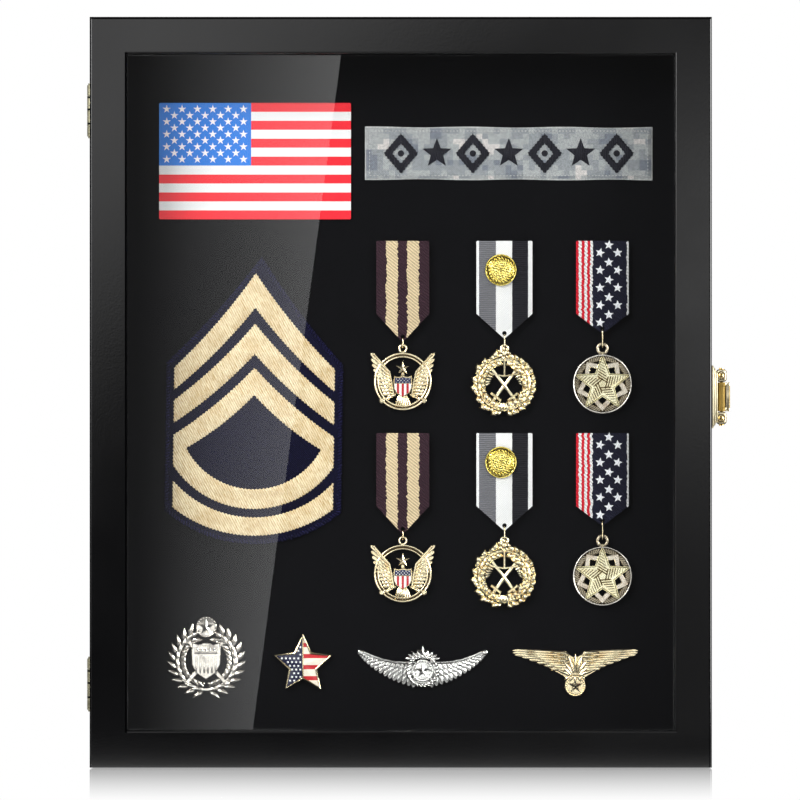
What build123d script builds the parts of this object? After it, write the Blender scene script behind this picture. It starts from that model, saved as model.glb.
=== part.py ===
from build123d import *

import math
import os

# A shallow wooden display case with a hinged, glazed door, holding medals and badges on a felt board.
# Millimetres. X runs to the right, Y from the front to the back and Z up. The origin is the centre of
# the bottom face of the case, so the case stands on z = 0.

# Case box
case_width = 304.8
case_height = 368.3
case_depth = 29.0
wall = 12.0
case_edge_radius = 0.8
panel_thickness = 3.0
panel_lap = 6.0
panel_clearance = 0.3
board_thickness = 6.0
board_clearance = 0.3
felt_thickness = 1.0
liner_thickness = 1.2
liner_setback = 1.0

# Door
door_gap = 0.5
door_foot_gap = 0.5
door_depth = 16.0
rail_width = 18.0
rabbet_width = 6.0
lip_thickness = 5.0
door_edge_radius = 1.2
lip_edge_radius = 0.8
pane_thickness = 2.0
pane_clearance = 0.5
retainer_width = 5.0
retainer_depth = 5.0
brad_radius = 0.6
brad_length = 9.0
brad_clearance = 0.05

# Corner biscuits
biscuit_radius = 4.0
biscuit_thickness = 2.0
case_biscuit_depths = (-6.0, 5.0)

# Butt hinges, let into the seam between the door and the case
hinge_height = 25.4
hinge_top_inset = 45.0
hinge_bottom_inset = 40.4
hinge_axis_proud = 0.6
knuckle_radius = 1.8
knuckle_count = 5
knuckle_gap = 0.2
leaf_thickness = 1.0
leaf_split = 0.2
leaf_reach = 9.0
leaf_clearance = 0.1
hinge_relief = 0.3
hinge_pin_radius = 0.7
hinge_pin_clearance = 0.05
hinge_pin_head_radius = 1.3
hinge_pin_head_height = 0.8
hinge_screw_spread = 15.0
hinge_screw_reach = 5.8

# Latch on the right side: a base on the door, a swinging lever and a keeper on the case
latch_drop = 2.0
latch_base_length = 30.8
latch_base_width = 12.0
latch_base_inset = 2.1
latch_plate = 1.2
latch_corner_radius = 1.5
latch_rise = 1.6
latch_rise_length = 24.0
latch_rise_width = 7.0
latch_pin_proud = 5.3
latch_pin_radius = 0.8
latch_pin_clearance = 0.05
latch_knuckle_radius = 2.4
latch_ear_gap = 0.2
lever_length = 14.2
lever_knuckle_radius = 2.3
lever_plate = 1.3
lever_reach = 16.2
lever_lip_plate = 1.2
lever_lip_gap = 0.3
lever_tab_reach = 3.2
lever_tab_rise = 1.8
latch_ear_length = 6.3
keeper_length = 26.0
keeper_width = 10.0
keeper_inset = 0.8
keeper_nose_rise = 2.2
keeper_nose_width = 2.0
keeper_nose_length = 13.0
keeper_nose_setback = 0.4

# Screws
countersink_radius = 1.9
countersink_depth = 1.0
screw_radius = 0.9
screw_clearance = 0.05
hinge_screw_length = 9.0
panel_screw_length = 11.0
hanger_screw_length = 4.2
latch_screw_length = 8.0
latch_screw_head_radius = 1.6
latch_screw_head_height = 1.1
latch_screw_inset = 2.3
latch_screw_end_inset = 4.0
keeper_screw_end_inset = 2.6
recess_width = 0.5
recess_length = 2.2
recess_depth = 0.5

# Keyhole hangers and wall bumpers on the back
hanger_width = 16.0
hanger_height = 38.0
hanger_thickness = 1.5
hanger_corner_radius = 3.0
hanger_side_inset = 52.4
hanger_entry_inset = 36.0
hanger_entry_radius = 4.5
hanger_slot_radius = 2.25
hanger_slot_rise = 9.0
hanger_screw_spread = 30.0
hanger_pocket_margin = 1.0
bumper_radius = 6.0
bumper_inset = 25.0
stop_pad_radius = 3.0

# Flag card, name tape and chevron patch. Each "spot" is where a piece sits on the board, from the board's
# middle, as shares of the cavity's width and height.
flag_width = 95.6
flag_height = 58.0
flag_thickness = 1.0
flag_spot = (-0.2585, 0.3353)
tape_width = 143.2
tape_height = 26.2
tape_thickness = 1.6
tape_corner_radius = 2.0
tape_spot = (0.1916, 0.3464)
patch_width = 88.0
patch_apex_height = 143.4
patch_shoulder_height = 89.9
patch_foot_height = 16.1
patch_thickness = 1.4
patch_thread_rise = 0.5
patch_flare = 1.6
patch_tip_lean = 2.9
patch_tilt = -0.8
patch_spot = (-0.2635, -0.2188)
chevron_half_width = 40.0
# Heights over the patch's lowest point: outer apex, inner apex, outer end and inner end of each chevron
chevrons = ((135.0, 117.7, 87.5, 76.3), (109.8, 94.6, 71.1, 59.8))
low_chevron = (87.8, 74.2, 53.9)
field_half_width = 33.6
field_corner_height = 47.4
field_foot_height = 27.3
low_arc_ends = 38.8
low_arc_foot = 17.5
rocker_top_ends = 31.2
rocker_top_foot = 13.3
rocker_ends = 17.8
rocker_foot = 4.2

# Medals: ribbons in three columns and two rows, each with a swinging pendant
upper_row_spot = 0.2197
lower_row_spot = -0.0582
ribbon_straight = 36.3
ribbon_thickness = 1.0
ribbon_bar_width = 20.0
ribbon_bar_height = 5.0
ribbon_bar_thickness = 1.6
ribbon_bar_drop = 1.5
ribbon_hole_radius = 1.1
ribbon_hole_rise = 2.8
ribbon_hole_slack = 0.1
link_wire_radius = 0.35
link_half_width = 1.35
eyelet_drop = 53.6
eyelet_hole_radius = 1.2
eyelet_slack = 0.3
eyelet_radius = 2.3
eyelet_thickness = 1.1
pendant_thickness = 2.0
pendant_relief = 0.8
button_radius = 7.5
button_height = 3.0
button_drop = 14.5
# Each column's spot across the board, its ribbon's width and its ribbon's length
winged_column = (0.0036, 26.4, 50.5)
wreath_column = (0.1838, 27.9, 48.8)
starred_column = (0.3575, 26.2, 46.3)
ring_stem = 1.9
ring_radius = 14.4
ring_width = 2.6
# The right wing's outline and half the fan of tail stripes, from the ring's middle
wing_points = ((1.0, 0.5), (4.2, 7.6), (9.4, 11.4), (14.6, 13.4), (13.4, 9.0), (11.6, 5.4), (8.6, 1.4),
               (4.0, -2.0))
fan_top = (1.6, -4.0)
fan_foot_half_width = 4.4
shield_width = 8.4
shield_height = 10.6
wreath_stem = 2.6
wreath_radius = 12.6
wreath_band = 3.4
wreath_leaf_radius = 2.6
wreath_leaf_count = 16
sword_length = 25.0
sword_width = 1.3
sword_lean = 38.0
medallion_stem = 2.9
medallion_radius = 14.7
medallion_rim = 2.2
star_points = 5

# Pin badges along the bottom
badge_thickness = 1.6
badge_relief = 1.0
emblem_spot = (-0.3451, -0.3879)
emblem_wreath_radius = 14.1
emblem_leaf_count = 9
emblem_first_leaf_turn = -82.0
emblem_leaves_sweep = 138.0
emblem_leaf_lean = 72.0
emblem_staff_lean = 45.0
emblem_leaf = (10.5, 4.6)
emblem_shield = (13.0, 17.0)
emblem_star_radius = 5.2
emblem_star_rise = 17.0
star_pin_spot = (-0.1734, -0.3928)
star_pin_radius = 15.3
wings_spot = (0.0388, -0.4001)
wings_half_span = 30.9
# The right wing's outline: shares of the half span, and heights, along its top and back along its foot
wings_top = ((0.0, 5.0), (0.2, 4.6), (0.42, 4.6), (0.7, 6.6), (1.0, 9.4))
wings_foot = ((0.92, 5.6), (0.8, 3.6), (0.72, 0.6), (0.57, -1.2), (0.46, -4.0), (0.3, -5.2), (0.17, -7.8),
              (0.0, -8.7))
wings_disc_radius = 6.2
wings_star_radius = 4.6
wings_star_rise = 8.4
branch_spot = (0.3095, -0.4065)
branch_half_span = 31.4
branch_disc_radius = 8.2
branch_disc_drop = 2.4
branch_stem_root = (-2.0, 1.0)
branch_stem_end = (4.4, 5.6)
branch_leaf = (11.0, 4.4)
branch_leaf_count = 5
branch_first_leaf = 6.0
branch_leaf_rise = 0.2
branch_leaf_leans = (38.0, -34.0)
branch_tip_rise = 5.0
branch_tip_lean = 10.0
badge_pin_radius = 0.5
badge_pin_length = 6.0
badge_pin_clearance = 0.05

# Where the layers lie, from the front to the back, and where things sit
case_front = -case_depth / 2
case_back = case_depth / 2
panel_front = case_back - panel_thickness
board_front = panel_front - board_thickness
felt_front = board_front - felt_thickness
door_back = case_front - door_gap
door_front = door_back - door_depth
lip_back = door_front + lip_thickness
pane_back = lip_back + pane_thickness
retainer_back = pane_back + retainer_depth
case_left = -case_width / 2
case_right = case_width / 2
case_middle = case_height / 2
cavity_width = case_width - 2 * wall
cavity_height = case_height - 2 * wall
door_height = case_height - door_foot_gap
door_middle = door_foot_gap + door_height / 2
latch_height = case_middle - latch_drop


def on_board(spot):
    """The point (x, z) of a spot on the board."""
    return (spot[0] * cavity_width, case_middle + spot[1] * cavity_height)


def box_between(low, high):
    """A box from its lowest corner to its highest."""
    size = [b - a for a, b in zip(low, high)]
    middle = [(a + b) / 2 for a, b in zip(low, high)]
    return Pos(*middle) * Box(*size)


def facing(x, z, y):
    """A plane that faces the front: its own X is +X, its own Y is +Z and it grows towards -Y."""
    return Plane(origin=(x, y, z), x_dir=(1, 0, 0), z_dir=(0, -1, 0))


def upright(radius, height, x, y, z):
    """A vertical cylinder round its middle point."""
    return Pos(x, y, z) * Cylinder(radius, height)


def along_y(radius, start, end, x, z):
    """A cylinder along Y, from one depth to another."""
    return extrude(facing(x, z, end) * Circle(radius), amount=end - start)


def outline(*edges):
    """A face inside a closed chain of edges."""
    return make_face(list(edges))


def polygon(points):
    """A face inside a closed run of straight edges."""
    return make_face(Polyline(*points, close=True))


def write(name, *solids):
    """Writes one node, with all its solids."""
    export_step(Compound(list(solids)), f"parts/{name}.step")


def frame_member(profile, length, width):
    """One mitred side of a frame, along X, with its outer edge at z = 0 and its inner edge above."""
    bar = extrude(Plane.YZ * profile, amount=length / 2, both=True)
    half = length / 2
    shape = polygon([(-half, 0), (half, 0), (half - width, width), (width - half, width)])
    return bar & extrude(facing(0, 0, 0) * shape, amount=case_depth + door_depth, both=True)


def frame_sides(profile, width, outer_width, outer_height, bottom):
    """The four mitred sides of a frame: bottom, top, left and right."""
    level = frame_member(profile, outer_width, width)
    tall = frame_member(profile, outer_height, width)
    middle = bottom + outer_height / 2
    return {
        "bottom": Pos(0, 0, bottom) * level,
        "top": Pos(0, 0, bottom + outer_height) * Rot(0, 180, 0) * level,
        "left": Pos(-outer_width / 2, 0, middle) * Rot(0, 90, 0) * tall,
        "right": Pos(outer_width / 2, 0, middle) * Rot(0, -90, 0) * tall,
    }


def corners(width, height, inset, bottom):
    """The four points that lie a distance inside a rectangle's corners."""
    xs = (inset - width / 2, width / 2 - inset)
    zs = (bottom + inset, bottom + height - inset)
    return [(x, z) for x in xs for z in zs]


def dome_cap(radius, height):
    """A shallow dome on z = 0, cut from a ball."""
    ball = (radius**2 + height**2) / (2 * height)
    turn = math.asin(radius / ball) / 2
    middle = (ball * math.sin(turn), ball * math.cos(turn) - ball + height)
    arc = ThreePointArc((radius, 0), middle, (0, height))
    half = outline(Line((0, 0), (radius, 0)), arc, Line((0, height), (0, 0)))
    return revolve(Plane.XZ * half, Axis.Z)


def screw_body(length, grow=0.0, dome=0.0, head_radius=countersink_radius):
    """A screw along -Z with its head's rim at z = 0: countersunk, or domed where dome has a height."""
    shank_radius = screw_radius + grow
    shank = Pos(0, 0, -length / 2) * Cylinder(shank_radius, length)
    if dome:
        return shank + dome_cap(head_radius + grow, dome)
    cone = Cone(shank_radius, head_radius + grow, countersink_depth)
    return shank + Pos(0, 0, -countersink_depth / 2) * cone


def screw(length, dome=0.0, head_radius=countersink_radius):
    """A screw with a crossed recess in its head."""
    body = screw_body(length, 0.0, dome, head_radius)
    slot = Pos(0, 0, dome) * Box(recess_length, recess_width, 2 * recess_depth)
    return body - slot - Rot(0, 0, 90) * slot


def star_outline(radius, waist=0.382):
    """A star's face, one point up. waist is the inner radius as a share of the outer one."""
    points = []
    for step in range(2 * star_points):
        reach = radius if step % 2 == 0 else radius * waist
        turn = math.radians(90 + 180 / star_points * step)
        points.append((reach * math.cos(turn), reach * math.sin(turn)))
    return polygon(points)


def leaf_outline(length, width):
    """A pointed leaf along +X from its stem at the origin."""
    above = ThreePointArc((0, 0), (length / 2, width / 2), (length, 0))
    below = ThreePointArc((length, 0), (length / 2, -width / 2), (0, 0))
    return outline(above, below)


def shield_outline(width, height):
    """A shield with a flat top and a pointed foot, round its middle."""
    half = width / 2
    top = height / 2
    right = ThreePointArc((half, 0), (half * 0.72, -top * 0.6), (0, -top))
    left = ThreePointArc((0, -top), (-half * 0.72, -top * 0.6), (-half, 0))
    up = Line((-half, 0), (-half, top))
    across = Line((-half, top), (half, top))
    return outline(right, left, up, across, Line((half, top), (half, 0)))


# ---------------------------------------------------------------- case and door frames
case_profile = polygon([
    (case_front, 0), (case_back, 0), (case_back, wall - panel_lap),
    (panel_front, wall - panel_lap), (panel_front, wall), (case_front, wall),
])
outer_corners = case_profile.vertices().group_by(Axis.Y)[0]
case_profile = fillet(outer_corners, case_edge_radius)
case_sides = frame_sides(case_profile, wall, case_width, case_height, 0)

rabbet_side = rail_width - rabbet_width
door_profile = polygon([
    (door_front, 0), (door_back, 0), (door_back, rabbet_side),
    (lip_back, rabbet_side), (lip_back, rail_width), (door_front, rail_width),
])
front_corners = door_profile.vertices().group_by(Axis.X)[0].sort_by(Axis.Y)
door_profile = fillet(front_corners[0], door_edge_radius)
lip_corner = door_profile.vertices().group_by(Axis.X)[0].sort_by(Axis.Y)[-1]
door_profile = fillet(lip_corner, lip_edge_radius)
door_sides = frame_sides(door_profile, rail_width, case_width, door_height, door_foot_gap)

case_biscuits = [
    along_y(biscuit_radius, depth - biscuit_thickness / 2, depth + biscuit_thickness / 2, x, z)
    for x, z in corners(case_width, case_height, wall / 2, 0)
    for depth in case_biscuit_depths
]
door_biscuit_start = pane_back + (door_back - pane_back - biscuit_thickness) / 2
door_biscuits = [
    along_y(biscuit_radius, door_biscuit_start, door_biscuit_start + biscuit_thickness, x, z)
    for x, z in corners(case_width, door_height, rabbet_side / 2, door_foot_gap)
]

# ---------------------------------------------------------------- back panel, board, felt and liners
rabbet_width_inside = case_width - 2 * (wall - panel_lap) - 2 * panel_clearance
rabbet_height_inside = case_height - 2 * (wall - panel_lap) - 2 * panel_clearance
back_panel = extrude(
    facing(0, case_middle, case_back) * Rectangle(rabbet_width_inside, rabbet_height_inside),
    amount=panel_thickness,
)
board_width = cavity_width - 2 * board_clearance
board_height = cavity_height - 2 * board_clearance
board_face = Rectangle(board_width, board_height)
pin_board = extrude(facing(0, case_middle, panel_front) * board_face, amount=board_thickness)
felt_cover = extrude(facing(0, case_middle, board_front) * board_face, amount=felt_thickness)

liner_front = case_front + liner_setback
cavity_right = cavity_width / 2
cavity_top = wall + cavity_height
side_foot = wall + liner_thickness
side_head = cavity_top - liner_thickness
liners = [
    box_between((-cavity_right, liner_front, wall), (cavity_right, felt_front, side_foot)),
    box_between((-cavity_right, liner_front, side_head), (cavity_right, felt_front, cavity_top)),
    box_between((-cavity_right, liner_front, side_foot),
                (liner_thickness - cavity_right, felt_front, side_head)),
    box_between((cavity_right - liner_thickness, liner_front, side_foot),
                (cavity_right, felt_front, side_head)),
]

panel_screw_inset = wall - panel_lap / 2
screw_xs = (-case_width / 4, case_width / 4)
screw_zs = (case_middle - case_height / 4, case_middle + case_height / 4)
panel_screw_points = [(x, z) for x in screw_xs for z in (panel_screw_inset, case_height - panel_screw_inset)]
panel_screw_points += [
    (x, z) for z in screw_zs for x in (case_left + panel_screw_inset, case_right - panel_screw_inset)
]
heads_to_back = Rot(-90, 0, 0)
panel_screws = []
for x, z in panel_screw_points:
    place = Pos(x, case_back, z) * heads_to_back
    panel_screws.append(place * screw(panel_screw_length))
    hole = place * screw_body(panel_screw_length, screw_clearance)
    back_panel -= hole
    for side in case_sides:
        case_sides[side] -= hole

# ---------------------------------------------------------------- pane and its retainers
pane_width = case_width - 2 * rabbet_side - 2 * pane_clearance
pane_height = door_height - 2 * rabbet_side - 2 * pane_clearance
pane = extrude(facing(0, door_middle, pane_back) * Rectangle(pane_width, pane_height), amount=pane_thickness)

rabbet_right = case_width / 2 - rabbet_side
rabbet_foot = door_foot_gap + rabbet_side
rabbet_head = door_foot_gap + door_height - rabbet_side
retainers = [
    box_between((-rabbet_right, pane_back, rabbet_foot),
                (rabbet_right, retainer_back, rabbet_foot + retainer_width)),
    box_between((-rabbet_right, pane_back, rabbet_head - retainer_width),
                (rabbet_right, retainer_back, rabbet_head)),
    box_between((-rabbet_right, pane_back, rabbet_foot + retainer_width),
                (retainer_width - rabbet_right, retainer_back, rabbet_head - retainer_width)),
    box_between((rabbet_right - retainer_width, pane_back, rabbet_foot + retainer_width),
                (rabbet_right, retainer_back, rabbet_head - retainer_width)),
]
brad_depth = (pane_back + retainer_back) / 2
brad_inset = rabbet_side + retainer_width - brad_length / 2
brad_places = [
    Pos(x, brad_depth, z)
    for x in screw_xs
    for z in (door_foot_gap + brad_inset, door_foot_gap + door_height - brad_inset)
]
brad_places += [
    Pos(x, brad_depth, z) * Rot(0, 90, 0)
    for z in screw_zs
    for x in (case_left + brad_inset, case_right - brad_inset)
]
brads = [place * Cylinder(brad_radius, brad_length) for place in brad_places]
for place in brad_places:
    hole = place * Cylinder(brad_radius + brad_clearance, brad_length)
    retainers = [strip - hole for strip in retainers]
    for side in door_sides:
        door_sides[side] -= hole

# ---------------------------------------------------------------- hinges
hinge_x = case_left - hinge_axis_proud
hinge_y = case_front - door_gap / 2
hinge_heights = {"upper": case_height - hinge_top_inset, "lower": hinge_bottom_inset}
knuckle_pitch = hinge_height / knuckle_count
knuckle_bore = hinge_pin_radius + hinge_pin_clearance
relief_radius = knuckle_radius + hinge_relief


def hinge_leaf(middle, side, first):
    """A hinge leaf with every second knuckle. side is 1 for the case's leaf and -1 for the door's."""
    near = hinge_y + side * leaf_split / 2
    far = near + side * leaf_thickness
    low_y, high_y = min(near, far), max(near, far)
    foot = middle - hinge_height / 2
    leaf = box_between((hinge_x + relief_radius, low_y, foot),
                       (hinge_x + leaf_reach, high_y, foot + hinge_height))
    for number in range(first, knuckle_count, 2):
        start = foot + number * knuckle_pitch + knuckle_gap / 2
        end = start + knuckle_pitch - knuckle_gap
        leaf += upright(knuckle_radius, end - start, hinge_x, hinge_y, (start + end) / 2)
        leaf += box_between((hinge_x, low_y, start), (hinge_x + relief_radius, high_y, end))
    return leaf - upright(knuckle_bore, hinge_height, hinge_x, hinge_y, middle)


hinge_parts = {}
hinge_case_screws = []
hinge_door_screws = []
relief_height = hinge_height + 2 * (hinge_pin_head_height + hinge_relief)
for name, middle in hinge_heights.items():
    case_leaf = hinge_leaf(middle, 1, 0)
    door_leaf = hinge_leaf(middle, -1, 1)
    seat_half = hinge_height / 2 + leaf_clearance
    seat_x = hinge_x + leaf_reach + leaf_clearance
    leaf_depth = leaf_split / 2 + leaf_thickness
    relief = upright(relief_radius, relief_height, hinge_x, hinge_y, middle)
    case_seat = box_between((hinge_x, hinge_y, middle - seat_half),
                            (seat_x, hinge_y + leaf_depth, middle + seat_half))
    door_seat = box_between((hinge_x, hinge_y - leaf_depth, middle - seat_half),
                            (seat_x, hinge_y, middle + seat_half))
    case_sides["left"] -= relief + case_seat
    door_sides["left"] -= relief + door_seat
    for z in (middle - hinge_screw_spread / 2, middle + hinge_screw_spread / 2):
        x = hinge_x + hinge_screw_reach
        case_place = Pos(x, hinge_y + leaf_split / 2, z) * Rot(90, 0, 0)
        door_place = Pos(x, hinge_y - leaf_split / 2, z) * heads_to_back
        hinge_case_screws.append(case_place * screw(hinge_screw_length))
        hinge_door_screws.append(door_place * screw(hinge_screw_length))
        case_hole = case_place * screw_body(hinge_screw_length, screw_clearance)
        door_hole = door_place * screw_body(hinge_screw_length, screw_clearance)
        case_leaf -= case_hole
        door_leaf -= door_hole
        case_sides["left"] -= case_hole
        door_sides["left"] -= door_hole
    hinge_parts[f"hinge_{name}_case_leaf"] = case_leaf
    hinge_parts[f"hinge_{name}_door_leaf"] = door_leaf

hinge_pins = []
for middle in hinge_heights.values():
    pin = upright(hinge_pin_radius, hinge_height, hinge_x, hinge_y, middle)
    for end in (-1, 1):
        head_middle = middle + end * (hinge_height + hinge_pin_head_height) / 2
        pin += upright(hinge_pin_head_radius, hinge_pin_head_height, hinge_x, hinge_y, head_middle)
    hinge_pins.append(pin)

# ---------------------------------------------------------------- latch
latch_face = case_right
latch_pin_x = latch_face + latch_pin_proud
base_back = door_back - latch_base_inset
base_front = base_back - latch_base_width
latch_pin_y = (base_front + base_back) / 2
latch_foot = latch_height - latch_base_length / 2
latch_bore = latch_pin_radius + latch_pin_clearance
latch_top = latch_face + latch_plate
heads_to_right = Rot(0, 90, 0)


def latch_screw_place(y, z):
    """Where a domed screw sits on a plate on the right side."""
    return Pos(latch_top, y, z) * heads_to_right


def plate_on_side(y_low, y_high, z_low, z_high, corner=latch_corner_radius):
    """A thin brass plate on the right side, with rounded corners."""
    face = RectangleRounded(y_high - y_low, z_high - z_low, corner)
    place = Plane(
        origin=(latch_face, (y_low + y_high) / 2, (z_low + z_high) / 2),
        x_dir=(0, 1, 0), z_dir=(1, 0, 0),
    )
    return extrude(place * face, amount=latch_plate)


latch_base = plate_on_side(base_front, base_back, latch_foot, latch_foot + latch_base_length)
rise_half = latch_rise_length / 2
latch_base += box_between(
    (latch_top, base_back - latch_rise_width, latch_height - rise_half),
    (latch_top + latch_rise, base_back, latch_height + rise_half),
)
ear_start = lever_length / 2 + latch_ear_gap
ear_web = latch_knuckle_radius * 2 / 3
for end in (-1, 1):
    ear_low = latch_height + min(end * ear_start, end * (ear_start + latch_ear_length))
    ear_high = ear_low + latch_ear_length
    ear_middle = (ear_low + ear_high) / 2
    latch_base += upright(latch_knuckle_radius, latch_ear_length, latch_pin_x, latch_pin_y, ear_middle)
    latch_base += box_between(
        (latch_top, latch_pin_y - ear_web, ear_low), (latch_pin_x, latch_pin_y + ear_web, ear_high),
    )
latch_base -= upright(latch_bore, latch_base_length, latch_pin_x, latch_pin_y, latch_height)

pin_length = 2 * (ear_start + latch_ear_length)
latch_pin = upright(latch_pin_radius, pin_length, latch_pin_x, latch_pin_y, latch_height)
for end in (-1, 1):
    head_middle = latch_height + end * (pin_length + latch_plate / 2) / 2
    latch_pin += upright(1.6 * latch_pin_radius, latch_plate / 2, latch_pin_x, latch_pin_y, head_middle)

keeper_front = case_front + keeper_inset
keeper_back = keeper_front + keeper_width
keeper_foot = latch_height - keeper_length / 2
keeper = plate_on_side(keeper_front, keeper_back, keeper_foot, keeper_foot + keeper_length)
nose_crown = latch_top + keeper_nose_rise
lever_tip = latch_pin_y + lever_reach
lip_front = lever_tip - lever_lip_plate
nose_back = lip_front - keeper_nose_setback
nose_radius = keeper_nose_width / 2
keeper += box_between(
    (latch_top, nose_back - keeper_nose_width, latch_height - keeper_nose_length / 2),
    (nose_crown - nose_radius, nose_back, latch_height + keeper_nose_length / 2),
)
keeper += upright(nose_radius, keeper_nose_length, nose_crown - nose_radius, nose_back - nose_radius,
                  latch_height)

lever_out = latch_pin_x + lever_knuckle_radius
lever_in = lever_out - lever_plate
lip_in = nose_crown + lever_lip_gap
lever_shape = polygon([
    (lever_in, latch_pin_y), (lever_out, latch_pin_y), (lever_out, lip_front),
    (lever_out + lever_tab_rise, lever_tip + lever_tab_reach),
    (lever_out + lever_tab_rise - lever_lip_plate, lever_tip + lever_tab_reach),
    (lever_in + lever_plate / 3, lever_tip), (lip_in, lever_tip), (lip_in, lip_front),
    (lever_in, lip_front),
])
latch_lever = extrude(Plane.XY.offset(latch_height) * lever_shape, amount=lever_length / 2, both=True)
latch_lever += upright(lever_knuckle_radius, lever_length, latch_pin_x, latch_pin_y, latch_height)
latch_lever -= upright(latch_bore, lever_length, latch_pin_x, latch_pin_y, latch_height)

base_screw_y = base_front + latch_screw_inset
keeper_screw_y = (keeper_front + keeper_back) / 2
latch_screw = screw(latch_screw_length, latch_screw_head_height, latch_screw_head_radius)
base_screw_spread = latch_base_length - 2 * latch_screw_end_inset
keeper_screw_spread = keeper_length - 2 * keeper_screw_end_inset
latch_base_screws = []
keeper_screws = []
latch_screw_bore = Pos(0, 0, -latch_screw_length / 2) * Cylinder(
    screw_radius + screw_clearance, latch_screw_length)
for end in (-1, 1):
    base_place = latch_screw_place(base_screw_y, latch_height + end * base_screw_spread / 2)
    keeper_place = latch_screw_place(keeper_screw_y, latch_height + end * keeper_screw_spread / 2)
    latch_base_screws.append(base_place * latch_screw)
    keeper_screws.append(keeper_place * latch_screw)
    latch_base -= base_place * latch_screw_bore
    door_sides["right"] -= base_place * latch_screw_bore
    keeper -= keeper_place * latch_screw_bore
    case_sides["right"] -= keeper_place * latch_screw_bore

# ---------------------------------------------------------------- hangers, bumpers and stop pads
hanger_back = case_back + hanger_thickness
entry_z = case_height - hanger_entry_inset
hanger_middle = entry_z + hanger_slot_rise / 2
hangers = {}
hanger_screws = []
for name, x in (("left", case_left + hanger_side_inset), ("right", case_right - hanger_side_inset)):
    plate_face = RectangleRounded(hanger_width, hanger_height, hanger_corner_radius)
    plate = extrude(facing(x, hanger_middle, hanger_back) * plate_face, amount=hanger_thickness)
    plate -= along_y(hanger_entry_radius, case_back, hanger_back, x, entry_z)
    plate -= along_y(hanger_slot_radius, case_back, hanger_back, x, entry_z + hanger_slot_rise)
    plate -= box_between((x - hanger_slot_radius, case_back, entry_z),
                         (x + hanger_slot_radius, hanger_back, entry_z + hanger_slot_rise))
    pocket = hanger_entry_radius + hanger_pocket_margin
    back_panel -= along_y(pocket, panel_front, case_back, x, entry_z)
    back_panel -= along_y(pocket, panel_front, case_back, x, entry_z + hanger_slot_rise)
    back_panel -= box_between((x - pocket, panel_front, entry_z),
                              (x + pocket, case_back, entry_z + hanger_slot_rise))
    for end in (-1, 1):
        place = Pos(x, hanger_back, hanger_middle + end * hanger_screw_spread / 2) * heads_to_back
        hanger_screws.append(place * screw(hanger_screw_length))
        hole = place * screw_body(hanger_screw_length, screw_clearance)
        plate -= hole
        back_panel -= hole
    hangers[f"hanger_plate_{name}"] = plate

wall_bumpers = [
    along_y(bumper_radius, case_back, hanger_back, x, bumper_inset)
    for x in (case_left + bumper_inset, case_right - bumper_inset)
]
stop_pads = [
    along_y(stop_pad_radius, door_back, case_front, x, z)
    for x, z in corners(case_width, case_height, wall / 2, 0)
]

# ---------------------------------------------------------------- flag, tape and patch
flag_card = extrude(facing(*on_board(flag_spot), felt_front) * Rectangle(flag_width, flag_height),
                    amount=flag_thickness)
tape_face = RectangleRounded(tape_width, tape_height, tape_corner_radius)
name_tape = extrude(facing(*on_board(tape_spot), felt_front) * tape_face, amount=tape_thickness)


def flared(start, end, flare=patch_flare):
    """An edge that bows a little towards the patch's middle line."""
    across = (end[0] - start[0], end[1] - start[1])
    length = math.hypot(*across)
    side = 1 if start[0] + end[0] > 0 else -1
    middle = ((start[0] + end[0]) / 2, (start[1] + end[1]) / 2)
    inward = (-side * abs(across[1]) / length, -abs(across[0]) / length)
    return ThreePointArc(start, (middle[0] + flare * inward[0], middle[1] + flare * inward[1]), end)


def chevron_outline(outer_apex, inner_apex, outer_end, inner_end):
    """One chevron stripe, point up."""
    half = chevron_half_width
    return outline(
        flared((-half, outer_end), (0, outer_apex)), flared((0, outer_apex), (half, outer_end)),
        Line((half, outer_end), (half, inner_end)), flared((half, inner_end), (0, inner_apex)),
        flared((0, inner_apex), (-half, inner_end)), Line((-half, inner_end), (-half, outer_end)),
    )


def rocker_outline(half, top, top_foot, ends, foot):
    """One curved stripe under the chevrons."""
    return outline(
        ThreePointArc((-half, top), (0, top_foot), (half, top)), Line((half, top), (half, ends)),
        ThreePointArc((half, ends), (0, foot), (-half, ends)), Line((-half, ends), (-half, top)),
    )


half = patch_width / 2
apex = (patch_tip_lean, patch_apex_height)
patch_face = outline(
    flared((-half, patch_shoulder_height), apex), flared(apex, (half, patch_shoulder_height)),
    Line((half, patch_shoulder_height), (half, patch_foot_height)),
    ThreePointArc((half, patch_foot_height), (0, 0), (-half, patch_foot_height)),
    Line((-half, patch_foot_height), (-half, patch_shoulder_height)),
)
low_outer, low_inner, low_end = low_chevron
half = chevron_half_width
low_ring = outline(
    flared((-half, low_end), (0, low_outer)), flared((0, low_outer), (half, low_end)),
    Line((half, low_end), (half, low_arc_ends)),
    ThreePointArc((half, low_arc_ends), (0, low_arc_foot), (-half, low_arc_ends)),
    Line((-half, low_arc_ends), (-half, low_end)),
)
half = field_half_width
low_ring -= outline(
    flared((-half, field_corner_height), (0, low_inner)), flared((0, low_inner), (half, field_corner_height)),
    ThreePointArc((half, field_corner_height), (0, field_foot_height), (-half, field_corner_height)),
)
thread_faces = [chevron_outline(*heights) for heights in chevrons]
thread_faces += [low_ring]
half = chevron_half_width
thread_faces += [rocker_outline(half, rocker_top_ends, rocker_top_foot, rocker_ends, rocker_foot)]
patch_back = facing(*on_board(patch_spot), felt_front) * Rot(0, 0, patch_tilt)
chevron_patch = extrude(patch_back * patch_face, amount=patch_thickness)
for face in thread_faces:
    chevron_patch += extrude(patch_back * face, amount=patch_thickness + patch_thread_rise)

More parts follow.
